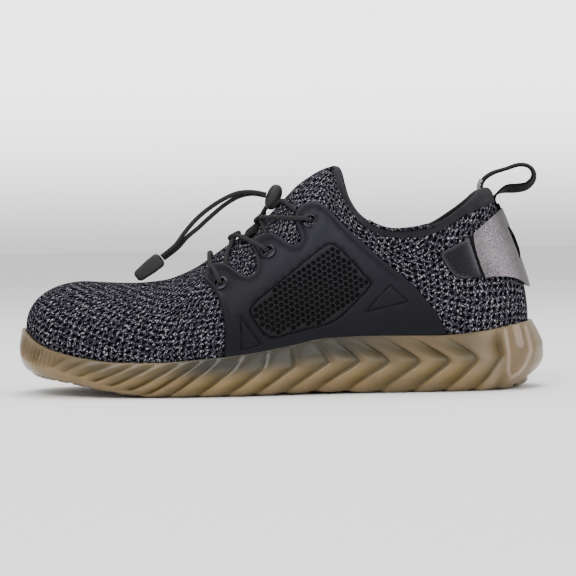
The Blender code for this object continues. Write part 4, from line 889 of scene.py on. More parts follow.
def buildSole():
    spots = []
    for rib in range(sole["ribs"]):
        for a, b in zip(ribPhases, ribPhases[1:] + (1.0,)):
            parts = 3 if rib < 4 or rib > 19 else 1
            spots += [rib + a + (b - a) * part / parts for part in range(parts)]
    spots.append(float(sole["ribs"]))
    count = len(spots) - 1
    rows = sole["levels"] + 5
    vertices, reliefShade, levels, along = [], [], [], []
    for side in (outer, inner):
        for j, rib in enumerate(spots):
            a, b, c = soleColumn(outer if j in (0, count) else side, rib)
            vertices += a
            reliefShade += b
            levels += c
            shares = [alongOf(p[0]) for p in a]
            along += [float(max(smooth(0.84, 0.95, s), 0.15 * smooth(0.14, 0.0, s))) for s in shares]
    faces = gridFaces(count + 1, rows) + gridFaces(count + 1, rows, start=(count + 1) * rows)
    across, start = sole["treadColumns"], len(vertices)
    for j in range(count + 1):
        left, right = vertices[j * rows], vertices[(count + 1 + j) * rows]
        around = j / count
        for c in range(across + 1):
            t = c / across
            zig = abs((t * 2.5 + 0.5) % 1.0 * 2 - 1) * 2 - 1
            ends = float(smooth(0.07, 0.24, around) * (1 - smooth(0.80, 0.93, around)))
            wave = sole["treadWave"] * zig * ends
            wave *= min(1.0, t * 8, (1 - t) * 8)
            x = left[0] * (1 - t) + right[0] * t + wave
            low = groundHeight(x, outer) * (1 - t) + groundHeight(x, inner) * t
            phase = spots[j] % 1.0
            groove = 1 - smooth(0.06, 0.20, min(phase, 1 - phase))
            notch = sole["treadDepth"] * float(groove * (1 - smooth(0.84, 0.90, around)))
            if c in (0, across):
                vertices.append(left if c == 0 else right)
            else:
                vertices.append((x, left[1] * (1 - t) + right[1] * t, low + notch))
            # painted shade in the tread's grooves
            reliefShade.append(0.8 - 0.7 * notch / sole["treadDepth"])
            levels.append(0.0)
            along.append(0.3)
    faces += gridFaces(count + 1, across + 1, start=start)
    # the cup's floor closes the body under the upper
    start = len(vertices)
    for j in range(count + 1):
        left, right = vertices[j * rows + rows - 1], vertices[(count + 1 + j) * rows + rows - 1]
        for c in range(5):
            t = c / 4
            vertices.append(tuple(np.array(left) * (1 - t) + np.array(right) * t))
            reliefShade.append(0.5)
            levels.append(1.0)
            along.append(0.3)
    faces += gridFaces(count + 1, 5, start=start)
    obj = finishMesh("gumSole", vertices, faces, gum, 2e-5,
                     values={"reliefShade": reliefShade, "level": levels, "alongSole": along})
    return place(obj, "gum_rubber", "outsole")


buildSole()
print("sole")


# Knitted upper

knitWall = {"inside": 0.0016, "sink": 0.0014, "liningGap": 0.0004, "skirtIn": 0.0060, "skirtLift": 0.0040}


def softCreases(point):
    # slack of the knit: soft troughs over the flex line and beside the throat, in the shoe's own sizes
    x, _, z = point
    depth = 0.0
    for cx, cz, wide, tall, deep in creases:
        depth += deep * math.exp(-((x - cx - (z - cz) * 0.5) / wide) ** 2 - ((z - cz) / tall) ** 2)
    return depth


creases = [  # x, z, width, height, depth
    (-0.062, 0.040, 0.006, 0.018, -0.0005), (-0.044, 0.050, 0.005, 0.016, -0.0006),
    (-0.052, 0.046, 0.004, 0.018, 0.0004), (0.100, 0.052, 0.006, 0.012, -0.0005),
    (0.116, 0.050, 0.005, 0.010, 0.0004),
]


def buildUpper():
    rows = topRow + 1
    collarStart = round(shoe["throatEnd"] * shoe["stations"])
    along = np.zeros((ringCount, rows))
    half = shoe["stations"]
    for sideIndex in (1, -1):
        for k in range(1, half + 1):
            a, b = (k - 1) * sideIndex % ringCount, k * sideIndex % ringCount
            step = np.linalg.norm(lastPoints[b] - lastPoints[a], axis=1)
            along[b] = along[a] + step * sideIndex if k < half or sideIndex == 1 else along[b]
    down = np.zeros((ringCount, rows))
    for r in range(rows - 2, -1, -1):
        down[:, r] = down[:, r + 1] + np.linalg.norm(lastPoints[:, r + 1] - lastPoints[:, r], axis=1)
    vertices, uv, light = [], [], []
    for k in range(ringCount + 1):
        ring = k % ringCount
        for r in range(rows):
            p, n = lastPoints[ring, r], lastNormals[ring, r]
            lift = softCreases(p) if r > 0 else 0.0
            if r == topRow and collarStart < ring < ringCount - collarStart:
                below = lastPoints[ring, r - 1] - p
                p = p + below / np.linalg.norm(below) * knitWall["sink"]
            vertices.append(p + n * lift)
            uv.append((abs(along[ring, r]), down[ring, r]))
            # the knit is paler towards the heel, less so high up, and high on the upper behind the throat
            back = float(smooth(0.075, 0.115, p[0]) * (1 - smooth(0.060, 0.100, p[2]) * 0.3))
            throat = float(smooth(-0.03, 0.03, p[0]) * smooth(0.080, 0.105, p[2]))
            light.append(0.12 + 0.10 * max(back, throat))
    obj = finishMesh("knitUpper", vertices, gridFaces(ringCount + 1, rows), knit, uv=uv,
                     values={"paleKnitShare": light})
    addWall(obj, "wall", knitWall["inside"])
    return place(obj, "knit", "upper")


buildUpper()
print("upper")


# Collar

cuff = {"width": 0.0054, "heelWidth": 0.0100, "proud": 0.0007, "roll": 0.0040, "columns": 150}


def rimFrame(i, count):
    # a place on the collar's rim, the way down the outside of the upper, and the way out
    k = round(shoe["throatEnd"] * shoe["stations"])
    span = (shoe["stations"] - k) * 2
    at = k + span * i / count
    ring = [(int(math.floor(at)) + s) % ringCount for s in (0, 1)]
    part = at - math.floor(at)

    def pick(grid, row):
        return grid[ring[0], row] * (1 - part) + grid[ring[1], row] * part

    top, below = pick(lastPoints, topRow), pick(lastPoints, topRow - 3)
    down = (below - top) / np.linalg.norm(below - top)
    out = pick(lastNormals, topRow)
    return top, down, out / np.linalg.norm(out)


def buildCuff():
    count, proud, roll = cuff["columns"], cuff["proud"], cuff["roll"]
    vertices = []
    for i in range(count + 1):
        top, down, out = rimFrame(i, count)
        heel = float(smooth(0.100, 0.118, top[0]))
        width = cuff["width"] + (cuff["heelWidth"] - cuff["width"]) * heel
        deep, tall = roll * (1 + 0.75 * heel), roll * (0.42 + 0.5 * heel)
        profile = []
        for s in (1.0, 0.98, 0.8, 0.6, 0.42):  # up the outside
            profile.append((s * width, proud * (0.1 if s == 1.0 else 1.0)))
        for turn in range(1, 10):  # over the roll, whose crest is the rim
            angle = math.pi * turn / 10
            inwards = (1 - math.cos(angle)) * deep * 0.5
            profile.append((tall * (1 - math.sin(angle)), proud * 0.9 - inwards))
        for s in (0.5, 0.8, 1.0, 1.02):  # down the inside
            profile.append((s * width, proud * 0.8 - deep + (0.0 if s <= 1.0 else 0.001)))
        for along, lift in profile:
            vertices.append(top + down * along + out * lift)
    obj = finishMesh("collarCuff", vertices, gridFaces(count + 1, len(profile)), cuffCloth)
    return place(obj, "cuff", "collar_cuff")


def buildLining():
    inset = knitWall["inside"] + knitWall["liningGap"]
    vertices = []
    rows = list(range(1, topRow + 1, 2))
    for k in range(ringCount + 1):
        # a skirt that meets the footbed
        p, n = lastPoints[k % ringCount, 1], lastNormals[k % ringCount, 1] * np.array([1, 1, 0])
        foot = p - n / np.linalg.norm(n) * (inset + knitWall["skirtIn"])
        vertices.append((foot[0], foot[1], footbedHeight(foot[0]) + knitWall["skirtLift"]))
        for r in rows:
            p, n = lastPoints[k % ringCount, r], lastNormals[k % ringCount, r]
            vertices.append(p - n * inset)
    obj = finishMesh("lining", vertices, gridFaces(ringCount + 1, len(rows) + 1), liningCloth)
    return place(obj, "cuff")


buildCuff()
buildLining()


insole = {"clear": 0.0030, "top": 0.0052, "bowl": 0.0016, "thick": 0.0035}


def buildInsole():
    n = 40
    vertices = []
    for i in range(n + 1):
        for j in range(17):
            t = j / 16
            at = max(min(i / n, 0.995), 0.005)
            ends = []
            for side in (outer, inner):
                spot, normal = planPoint(side, at)
                inset = sideInset(1.0, at) + sole["cupWall"] + sole["tuck"] + insole["clear"]
                ends.append(spot - normal * inset)
            x, y = ends[0] * (1 - t) + ends[1] * t
            vertices.append((x, y, footbedHeight(x) + insole["top"] + insole["bowl"] * (2 * t - 1) ** 4))
    obj = finishMesh("footbedTop", vertices, gridFaces(n + 1, 17), boardCloth)
    addWall(obj, "board", insole["thick"])
    return place(obj, "footbed", "insole")


buildInsole()
print("collar and insole")


# Moulded overlays

saddle = {
    "lift": 0.0002, "thick": 0.0014, "rimRise": 0.0008, "rimWidth": 0.0028, "pocketRadius": 0.0062,
    "pocketDepth": 0.0009, "grooveWidth": 0.0006, "grooveDepth": 0.0007, "edgeStep": 0.0009,
}
saddleShape = [  # along, height, and which are corners
    (0.395, 0.150, "corner"), (0.398, 0.274), (0.392, 0.388), (0.377, 0.462), (0.361, 0.500),
    (0.364, 0.540), (0.380, 0.564), (0.398, 0.568), (0.418, 0.543), (0.438, 0.516), (0.450, 0.520),
    (0.458, 0.548), (0.456, 0.604), (0.452, 0.660), (0.470, 0.691), (0.491, 0.697), (0.507, 0.676),
    (0.522, 0.652), (0.534, 0.651), (0.540, 0.672), (0.537, 0.705), (0.531, 0.750), (0.532, 0.785),
    (0.544, 0.818), (0.563, 0.834), (0.581, 0.824), (0.598, 0.792), (0.631, 0.711), (0.665, 0.637),
    (0.699, 0.564), (0.733, 0.499), (0.763, 0.425), (0.790, 0.343), (0.810, 0.250, "corner"),
]
windowShape = [
    (0.446, 0.364), (0.449, 0.388), (0.510, 0.505), (0.584, 0.640), (0.596, 0.650), (0.606, 0.640),
    (0.664, 0.492), (0.668, 0.476), (0.663, 0.458), (0.634, 0.388), (0.598, 0.318), (0.540, 0.282),
    (0.489, 0.254), (0.477, 0.258),
]
triangleShapes = [[(0.428, 0.344), (0.428, 0.203), (0.464, 0.223)],
                  [(0.704, 0.470), (0.736, 0.397), (0.655, 0.353)]]
eyeletPlaces = [(0.3905, 0.487), (0.4800, 0.6215), (0.5590, 0.7530)]


def sidePoint(along, share):
    return np.array([planX(along), share * shoe["instepHeight"]])


def closedOutline(shape, spacing):
    spots = [sidePoint(row[0], row[1]) for row in shape]
    corners = [i for i, row in enumerate(shape) if len(row) > 2 and row[2] == "corner"]
    if not corners:
        dense = curveThrough(spots, True, 16)
        dense = np.vstack([dense, dense[:1]])
        return evenly(dense, max(8, round(runOf(dense)[-1] / spacing)))[:-1]
    points = []
    for n, start in enumerate(corners):
        count = (corners[(n + 1) % len(corners)] - start) % len(spots) or len(spots)
        run = [spots[(start + i) % len(spots)] for i in range(count + 1)]
        dense = curveThrough(run, False, 16) if count > 1 else np.array(run)
        points.extend(evenly(dense, max(2, round(runOf(dense)[-1] / spacing)))[:-1])
    return np.array(points)


def distanceTo(points, loop):
    # distance from points to a closed outline, and whether each lies inside it
    points, a = np.asarray(points, float), np.asarray(loop, float)
    b = np.roll(a, -1, axis=0)
    edge = b - a
    rel = points[:, None] - a[None]
    t = np.clip((rel * edge).sum(2) / np.maximum((edge**2).sum(1), 1e-18), 0, 1)
    away = np.linalg.norm(rel - t[:, :, None] * edge[None], axis=2).min(1)
    crosses = (a[None, :, 1] > points[:, None, 1]) != (b[None, :, 1] > points[:, None, 1])
    rise = np.where(np.abs(edge[:, 1]) < 1e-12, 1e-12, edge[:, 1])
    at = a[None, :, 0] + (points[:, None, 1] - a[None, :, 1]) / rise * edge[None, :, 0]
    inside = (crosses & (points[:, None, 0] < at)).sum(1) % 2 == 1
    return away, inside


def offsetLoop(loop, inset):
    tangent = np.roll(loop, -1, axis=0) - np.roll(loop, 1, axis=0)
    normal = np.column_stack([-tangent[:, 1], tangent[:, 0]])
    normal /= np.maximum(np.linalg.norm(normal, axis=1), 1e-12)[:, None]
    area = np.sum(loop[:, 0] * np.roll(loop[:, 1], -1) - np.roll(loop[:, 0], -1) * loop[:, 1])
    moved = loop + normal * inset * (1 if area > 0 else -1)
    away, inside = distanceTo(moved, loop)
    return moved[(away > inset * 0.85) & inside]


def circleLoop(centre, radius, count):
    turn = np.arange(count) / count * 2 * math.pi
    return np.column_stack([centre[0] + radius * np.cos(turn), centre[1] + radius * np.sin(turn)])


def planarMesh(outlineLoop, holes, lines, spacing):
    # triangles inside an outline and outside its holes, with the guide loops as edges
    low, high = outlineLoop.min(0), outlineLoop.max(0)
    grid, row, z = [], 0, low[1]
    while z < high[1]:
        for x in np.arange(low[0] + (row % 2) * spacing / 2, high[0], spacing):
            grid.append((x, z))
        z += spacing * 0.866
        row += 1
    grid = np.array(grid)
    away, mask = distanceTo(grid, outlineLoop)
    mask &= away > spacing * 0.35
    for loop in [*holes, *lines]:
        mask &= distanceTo(grid, loop)[0] > spacing * 0.35
    for loop in holes:
        mask &= ~distanceTo(grid, loop)[1]
    grid = grid[mask]
    spots, edges = [], []
    for loop in [outlineLoop, *holes, *lines]:
        base = len(spots)
        spots += [Vector(p) for p in loop]
        edges += [(base + i, base + (i + 1) % len(loop)) for i in range(len(loop))]
    spots += [Vector(p) for p in grid]
    made = geometry.delaunay_2d_cdt(spots, edges, [], 0, 1e-7)
    points = np.array([tuple(p) for p in made[0]])
    faces = np.array([f for f in made[2] if len(f) == 3])
    centres = points[faces].mean(1)
    good = distanceTo(centres, outlineLoop)[1]
    for loop in holes:
        good &= ~distanceTo(centres, loop)[1]
    return points, faces[good]


def wrapOnSide(name, side, points, faces, heights, base, material, values=None):
    # a closed skin over the last: the side view's triangles lifted by their heights, and a base under them
    count = len(points)
    outerSkin, innerSkin = [], []
    for (x, z), height in zip(points, heights):
        spot, normal = dropOn(side, x, z)
        outerSkin.append(spot + normal * height)
        innerSkin.append(spot + normal * base)
    edges = {}
    for a, b, c in faces:
        for e in ((a, b), (b, c), (c, a)):
            key = tuple(sorted(e))
            edges[key] = None if key in edges else e
    allFaces = [tuple(f) for f in faces] + [(c + count, b + count, a + count) for a, b, c in faces]
    for e in edges.values():
        if e is not None:
            a, b = e
            allFaces.append((b, a, a + count, b + count))
    doubled = {key: list(data) + list(data) for key, data in (values or {}).items()}
    return finishMesh(name, outerSkin + innerSkin, allFaces, material, values=doubled)


def saddleHeights(points, loop, window, triangles):
    away, _ = distanceTo(points, loop)
    rimEnd = smooth(0.040, 0.046, points[:, 1])
    bead = np.sin(np.clip(away / saddle["rimWidth"], 0, 1) * math.pi) * saddle["rimRise"]
    edge = saddle["edgeStep"] * (1 - np.clip(away / 0.0009, 0, 1)) ** 2
    height = saddle["lift"] + saddle["thick"] + bead * (0.45 + 0.55 * rimEnd) - edge
    for along, share in eyeletPlaces:
        centre = sidePoint(along, share)
        r = np.linalg.norm(points - centre, axis=1)
        pocket = saddle["pocketRadius"]
        height -= saddle["pocketDepth"] * (1 - smooth(pocket * 0.72, pocket * 1.25, r))
    windowAway, _ = distanceTo(points, window)
    height -= 0.0005 * (1 - smooth(0.0002, 0.0014, windowAway))
    lineAway = np.minimum(*[distanceTo(points, lines)[0] for lines in triangles])
    groove = saddle["grooveWidth"]
    height -= saddle["grooveDepth"] * (1 - smooth(groove * 0.4, groove, lineAway))
    # painted shade: the triangles' grooves, the window's sunken edge and the trough behind the rim are
    # darkened
    recessShade = 1 - smooth(0.0001, 0.0006, lineAway)
    recessShade = np.maximum(recessShade, 0.8 * (1 - smooth(0.0, 0.0008, windowAway)))
    behindRim = np.exp(-(((away - saddle["rimWidth"] * 1.15) / 0.0010) ** 2))
    behindRim *= smooth(0.058, 0.068, points[:, 1])
    height -= 0.0005 * behindRim
    recessShade = np.maximum(recessShade, 0.45 * behindRim)
    return height, recessShade


def buildSaddle(side):
    loop = closedOutline(saddleShape, 0.0011)
    window = closedOutline(windowShape, 0.0012)
    holes = [window] + [circleLoop(sidePoint(*spot), 0.0029, 16) for spot in eyeletPlaces]
    lines = [offsetLoop(loop, inset) for inset in (0.0006, 0.0014, 0.0022, 0.0032)]
    lines += [circleLoop(sidePoint(*spot), radius, 20) for spot in eyeletPlaces
              for radius in (0.0044, 0.0060)]
    triangles = []
    for corners in triangleShapes:
        tri = np.array([sidePoint(*spot) for spot in corners])
        dense = np.vstack([np.linspace(tri[i], tri[(i + 1) % 3], 14)[:-1] for i in range(3)])
        triangles.append(dense)
        middle = tri.mean(0)
        outward = (dense - middle) / np.linalg.norm(dense - middle, axis=1)[:, None]
        lines += [dense, *(dense + outward * grow for grow in (-0.0005, 0.0005, 0.0011, -0.0011))]
    points, faces = planarMesh(loop, holes, [l for l in lines if len(l) > 3], 0.0026)
    heights, recessShade = saddleHeights(points, loop, window, triangles)
    obj = wrapOnSide("saddleOverlay" + word[side], side, points, faces, heights, saddle["lift"], overlay,
                     {"recessShade": recessShade})
    return place(obj, "moulded_overlay", "saddle_" + view[side])


panel = {"pitch": 0.00325, "holeRadius": 0.00134, "rim": 0.0003, "lift": 0.0003, "thick": 0.0009,
         "turn": 34.0,
         "backing": 0.00025}


def buildPanel(side):
    window = closedOutline(windowShape, 0.0012)
    loop = offsetLoop(window, 0.00025)
    low, high = window.min(0), window.max(0)
    middle = (low + high) / 2
    turn = math.radians(panel["turn"])
    rowWay = np.array([math.cos(turn), math.sin(turn)])
    nextWay = np.array([-math.sin(turn), math.cos(turn)])
    pitch = panel["pitch"]
    centres = [middle + rowWay * (column + 0.5 * (row % 2)) * pitch + nextWay * row * pitch * 0.866
               for row in range(-20, 21) for column in range(-30, 31)]
    away, inside = distanceTo(np.array(centres), window)
    centres = [c for c, d,
               ok in zip(centres, away, inside) if ok and d > panel["holeRadius"] + panel["rim"]]
    holes = [circleLoop(c, panel["holeRadius"], 10) for c in centres]
    points, faces = planarMesh(loop, holes, [], 0.0040)
    heights = np.full(len(points), panel["lift"] + panel["thick"])
    name = "ventPanel" + word[side]
    obj = wrapOnSide(name, side, points, faces, heights, panel["lift"], panelFilm)
    place(obj, "moulded_overlay", "vent_panel_" + view[side])
    # black cloth behind the holes
    points, faces = planarMesh(loop, [], [], 0.0040)
    back = wrapOnSide(name + "Backing", side, points, faces, np.full(len(points), panel["backing"]),
                      0.00005, liningCloth)
    place(back, "footbed")
    return len(centres)


for side in (outer, inner):
    buildSaddle(side)
    print("overlay and", buildPanel(side), "vent holes")


# Eyelets

eyelet = {"radius": 0.0047, "bore": 0.0027, "rise": 0.0009}


def buildEyelet(side, number, along, share):
    x, z = sidePoint(along, share)
    spot, normal = dropOn(side, x, z)
    turn = Vector(normal).to_track_quat("Z", "Y").to_matrix()
    floor = saddle["lift"] + saddle["thick"] - saddle["pocketDepth"]
    r, b, h = eyelet["radius"], eyelet["bore"], eyelet["rise"]
    section = [  # radius and lift, round the ring's section
        (b, -0.0012), (b, h * 0.6), (b + 0.0002, h * 0.95), (b + 0.0005, h), (b + 0.0008, h * 0.80),
        (r - 0.0009, h * 0.45), (r - 0.0005, h * 0.62), (r - 0.0002, h * 0.50), (r, 0.0001),
        (r - 0.0004, -0.0002), (b + 0.0005, -0.0012),
    ]
    vertices, faces = [], []
    count, m = 36, len(section)
    for i in range(count):
        angle = 2 * math.pi * i / count
        for radius, lift in section:
            local = Vector((radius * math.cos(angle), radius * math.sin(angle), floor + lift))
            vertices.append(tuple(Vector(spot) + turn @ local))
        here, ahead = i * m, (i + 1) % count * m
        faces += [(here + j, ahead + j, ahead + (j + 1) % m, here + (j + 1) % m) for j in range(m)]
    obj = finishMesh(f"eyeletRing{word[side]}{number}", vertices, faces, nickel)
    return place(obj, "eyelet_metal", f"eyelet_{view[side]}_{number}")


for side in (outer, inner):
    for n, spot in enumerate(eyeletPlaces):
        buildEyelet(side, n + 1, *spot)
print("eyelets")


# Cords

def tubeMesh(name, path, radius, material, sides=14):
    run = runOf(path)
    vertices, uv = [], []
    up = np.array([0.0, 1.0, 0.05])
    for i, spot in enumerate(path):
        ahead = path[min(i + 1, len(path) - 1)] - path[max(i - 1, 0)]
        ahead = ahead / np.linalg.norm(ahead)
        up = up - ahead * np.dot(up, ahead)
        up = up / np.linalg.norm(up)
        across = np.cross(ahead, up)
        for s in range(sides + 1):
            angle = 2 * math.pi * s / sides
            vertices.append(spot + (up * math.cos(angle) + across * math.sin(angle)) * radius)
            uv.append((s / sides * 2 * math.pi * radius, run[i]))
    faces = gridFaces(len(path), sides + 1)
    for end in (0, len(path) - 1):
        vertices.append(path[end])
        uv.append((0.0, run[end]))
        first, tip = end * (sides + 1), len(vertices) - 1
        faces += [(first + s, first + s + 1, tip) for s in range(sides)]
    return finishMesh(name, vertices, faces, material, uv=uv)


laces = {"radius": 0.00128, "onSaddle": 0.0034, "onKnit": 0.0019, "barAbove": 0.0022}


def surfaceSpot(side, along, share, lift):
    around, up = locate(side, planX(along), share * shoe["instepHeight"])
    return onLast(side, around, min(up, 0.985), lift)


def ridgeSpot(along, lift, aside):
    slope = (read(ridge, "rise", along + 0.01)
             - read(ridge, "rise", along - 0.01)) / 0.02 * 0.0639 / shoe["length"]
    normal = np.array([-slope, 0.0, 1.0]) / math.hypot(slope, 1)
    return np.array([planX(along), ridgeAside(along) + aside, ridgeHeight(along)]) + normal * lift


def intoEyelet(side, number, depth):
    x, z = sidePoint(*eyeletPlaces[number])
    return onSide(side, x, z, depth)


def strandOver(side, number, over, hook, under):
    # out of the eyelet, over the throat, tightly round the ridge and down under the other overlay
    path = [intoEyelet(side, number, -0.0012), intoEyelet(side, number, 0.0022)]
    first = surfaceSpot(side, *over[0], laces["onSaddle"] + 0.0004)
    path[1] = path[1] * 0.75 + first * 0.25
    path += [surfaceSpot(side, *spot, laces["onSaddle"]) for spot in over]
    turns = ((0.010, 0.0075, 0.0026), (0.002, 0.0035, 0.0030), (0.000, 0.0, 0.0024),
             (0.001, -0.0045, 0.0018))
    path += [ridgeSpot(hook + forward, lift, side * aside) for forward, aside, lift in turns]
    path += [surfaceSpot(-side, *spot, lift) for spot, lift in under]
    return path


def lacePiece(name, path, *nodes):
    return place(tubeMesh(name, curveThrough(path), laces["radius"], laceCord), "cord", *nodes)


def halfBar(side):
    return [intoEyelet(side, 0, -0.0012), intoEyelet(side, 0, 0.0026),
            surfaceSpot(side, 0.3820, 0.527, laces["onSaddle"]),
            surfaceSpot(side, 0.3750, 0.552, laces["onKnit"] + 0.0010)]


def buildLaces():
    overRidge = [ridgeSpot(0.3715, laces["barAbove"], aside) for aside in (-0.010, 0.0, 0.010)]
    lacePiece("laceBar", halfBar(outer) + overRidge + halfBar(inner)[::-1], "lace_bar")
    crossings = [  # piece, node, eyelet, course over the overlay, where it turns, and where it dives
        ("laceCrossLow", "lace_cross_low", 1, [(0.4573, 0.645), (0.4407, 0.662), (0.4260, 0.672)],
         0.410, [((0.4030, 0.592), laces["onKnit"]), ((0.3990, 0.545), -0.0010)]),
        ("laceCrossTop", "lace_cross_top", 2, [(0.5300, 0.753), (0.4940, 0.755), (0.4740, 0.753)],
         0.461, [((0.4735, 0.716), -0.0004), ((0.4800, 0.676), -0.0020)]),
    ]
    for name, node, number, over, hook, under in crossings:
        for side in (outer, inner):
            # the strand from the inner side lies on top, a little further up the throat
            shift = 0.007 if side == inner else 0.0
            path = strandOver(side, number, over, hook + shift, under)
            lacePiece(name + word[side], path, *([node] if side == outer else []))
    lockFoot = lockPoint(-0.42)
    for side in (outer, inner):
        path = [surfaceSpot(side, 0.5330, 0.792, 0.0004),
                surfaceSpot(side, 0.5220, 0.815, laces["onKnit"]),
                surfaceSpot(side, 0.5120, 0.832, laces["onKnit"] + 0.0004),
                lockFoot + np.array([0.0022, side * 0.0022, 0.0008]),
                lockFoot + np.array([0.0, side * 0.001, 0.003])]
        lacePiece("laceTop" + word[side], path, "lace_top_" + view[side])
    # the turn of cord that comes out of the lock's front and goes behind the ridge
    path = [ridgeSpot(0.4735, -0.0012, 0.0085), ridgeSpot(0.4725, 0.0022, 0.0045),
            lockFoot + np.array([-0.0016, 0.0012, 0.0006]), lockFoot + np.array([0.0, 0.001, 0.003])]
    lacePiece("laceTopTurn", path)



lock = {"along": 0.4905, "aboveRidge": 0.0073, "length": 0.0150, "width": 0.0088, "tilt": 22.0}
clip = {"along": 0.2515, "aboveRidge": 0.0081, "aside": -0.0022, "length": 0.0182, "width": 0.0088,
        "depth": 0.0062, "tilt": 37.0}


def spotOf(spot):
    along, height, aside = spot
    return np.array([planX(along), aside * shoe["ballWidth"], height * shoe["instepHeight"]])


def aboveRidge(along, aside, lift):
    return np.array([planX(along), aside, ridgeHeight(along) + lift])


lockMiddle = aboveRidge(lock["along"], 0.0, lock["aboveRidge"])
clipMiddle = aboveRidge(clip["along"], clip["aside"], clip["aboveRidge"])


def lockPoint(share):
    tilt = math.radians(lock["tilt"])
    return lockMiddle + np.array([math.sin(tilt), 0, math.cos(tilt)]) * share * lock["length"]


def buildLock():
    tilt = math.radians(lock["tilt"])
    vertices, rings, sides = [], 22, 28
    for i in range(rings + 1):
        s = i / rings
        angle = math.pi * s
        # fuller than an ellipsoid, with a shallow waist where the cord leaves
        waist = 1 - 0.05 * math.exp(-((s - 0.5) / 0.1) ** 2)
        radius = lock["width"] / 2 * math.sin(angle) ** 0.80 * waist
        height = -math.cos(angle) * lock["length"] / 2
        for k in range(sides):
            turn = 2 * math.pi * k / sides
            local = Vector((radius * math.cos(turn), radius * math.sin(turn) * 0.96, height))
            vertices.append(tuple(Vector(lockMiddle) + Matrix.Rotation(tilt, 3, "Y") @ local))
    obj = finishMesh("cordLockBead", vertices, ringFaces(rings, sides), beadPlastic, 1e-5)
    place(obj, "hard_plastic", "cord_lock")


tailRoutes = {
    "laceTailUpper": ("lace_tail_upper", [
        (0.4768, 0.8742, -0.015), (0.452, 0.886, -0.016), (0.423, 0.883, -0.018),
        (0.394, 0.855, -0.020), (0.365, 0.812, -0.023),
        (0.340, 0.762, -0.026), (0.320, 0.708, -0.028), (0.303, 0.655, -0.032),
        (0.2762, 0.6040, -0.034)]),
    "laceTailLower": ("lace_tail_lower", [
        (0.4758, 0.8690, 0.013), (0.4500, 0.8790, 0.012), (0.425, 0.868, 0.010),
        (0.398, 0.833, 0.006), (0.370, 0.780, 0.000),
        (0.345, 0.728, -0.004), (0.325, 0.690, -0.006), (0.306, 0.642, -0.007),
        (0.2790, 0.5945, -0.007)]),
}


def buildTails():
    clipPiece = buildClip()
    for name, (node, route) in tailRoutes.items():
        path = evenly(curveThrough([spotOf(s) for s in route], False, 12), 80)
        obj = tubeMesh(name, path, laces["radius"], laceCord, 16)
        place(obj, "cord", node)
        float(runOf(path)[-1])


def buildClip():
    tilt = math.radians(-clip["tilt"])
    vertices, rings, sides = [], 16, 20
    for i in range(rings + 1):
        s = i / rings
        grow = 0.80 + 0.20 * float(smooth(0.0, 0.75, s))
        end = math.sqrt(max(1 - (2 * s - 1) ** 8, 0.0))
        for k in range(sides):
            turn = 2 * math.pi * k / sides
            c, d = math.cos(turn), math.sin(turn)
            power = 0.45  # rounds the box section
            y = math.copysign(abs(c) ** power,
                              c) * clip["depth"] / 2 * (0.85 + 0.15 * s) * (0.55 + 0.45 * end)
            z = math.copysign(abs(d) ** power, d) * clip["width"] / 2 * grow * (0.55 + 0.45 * end)
            pinch = 1 - 0.06 * math.exp(-((s - 0.72) / 0.03) ** 2)
            local = Vector(((s - 0.5) * clip["length"], y * pinch, z * pinch))
            vertices.append(tuple(Vector(clipMiddle) + Matrix.Rotation(tilt, 3, "Y") @ local))
    faces = ringFaces(rings, sides)
    faces.append(tuple(range(sides)))
    faces.append(tuple(rings * sides + k for k in range(sides))[::-1])
    obj = finishMesh("cordEndClip", vertices, faces, beadPlastic, 1e-6)
    softenEdges(obj, "soft")
    place(obj, "hard_plastic", "cord_clip")
    return obj


buildTails()
buildLock()
buildLaces()
print("cords")


# Stitches

stitch = {"spacing": 0.0024, "length": 0.0017, "thickness": 0.00042}


def stitchNodes():
    tree = bpy.data.node_groups.new("stitchRun", "GeometryNodeTree")
    tree.interface.new_socket("Geometry", in_out="INPUT", socket_type="NodeSocketGeometry")
    for name in ("Spacing", "Length", "Thickness"):
        made = tree.interface.new_socket(name, in_out="INPUT", socket_type="NodeSocketFloat")
        made.default_value = stitch[name.lower()]
    tree.interface.new_socket("Thread", in_out="INPUT", socket_type="NodeSocketMaterial")
    tree.interface.new_socket("Geometry", in_out="OUTPUT", socket_type="NodeSocketGeometry")
    ins, outs = tree.nodes.new("NodeGroupInput"), tree.nodes.new("NodeGroupOutput")
    curve = addNode(tree, "GeometryNodeMeshToCurve", {"Mesh": ins.outputs["Geometry"]})
    spaced = addNode(tree, "GeometryNodeResampleCurve",
                     {"Curve": curve.outputs["Curve"], "Length": ins.outputs["Spacing"]}, mode="LENGTH")
    bead = addNode(tree, "GeometryNodeMeshUVSphere", {"Segments": 8, "Rings": 6, "Radius": 0.5})
    size = addNode(tree, "ShaderNodeCombineXYZ",
                   {0: ins.outputs["Thickness"], 1: ins.outputs["Thickness"], 2: ins.outputs["Length"]})
    drawn = addNode(tree, "GeometryNodeTransform",
                    {"Geometry": bead.outputs["Mesh"], "Scale": size.outputs[0]})
    tangent = addNode(tree, "GeometryNodeInputTangent")
    turned = addNode(tree, "FunctionNodeAlignRotationToVector", {"Vector": tangent.outputs["Tangent"]},
                     axis="Z")
    sewn = addNode(tree, "GeometryNodeInstanceOnPoints", {
        "Points": spaced.outputs["Curve"], "Instance": drawn.outputs["Geometry"],
        "Rotation": turned.outputs["Rotation"]})
    real = addNode(tree, "GeometryNodeRealizeInstances", {"Geometry": sewn.outputs["Instances"]})
    soft = addNode(tree, "GeometryNodeSetShadeSmooth", {"Geometry": real.outputs["Geometry"]})
    coloured = addNode(tree, "GeometryNodeSetMaterial",
                       {"Geometry": soft.outputs["Geometry"], "Material": ins.outputs["Thread"]})
    tree.links.new(coloured.outputs["Geometry"], outs.inputs["Geometry"])
    return tree


stitchRun = stitchNodes()


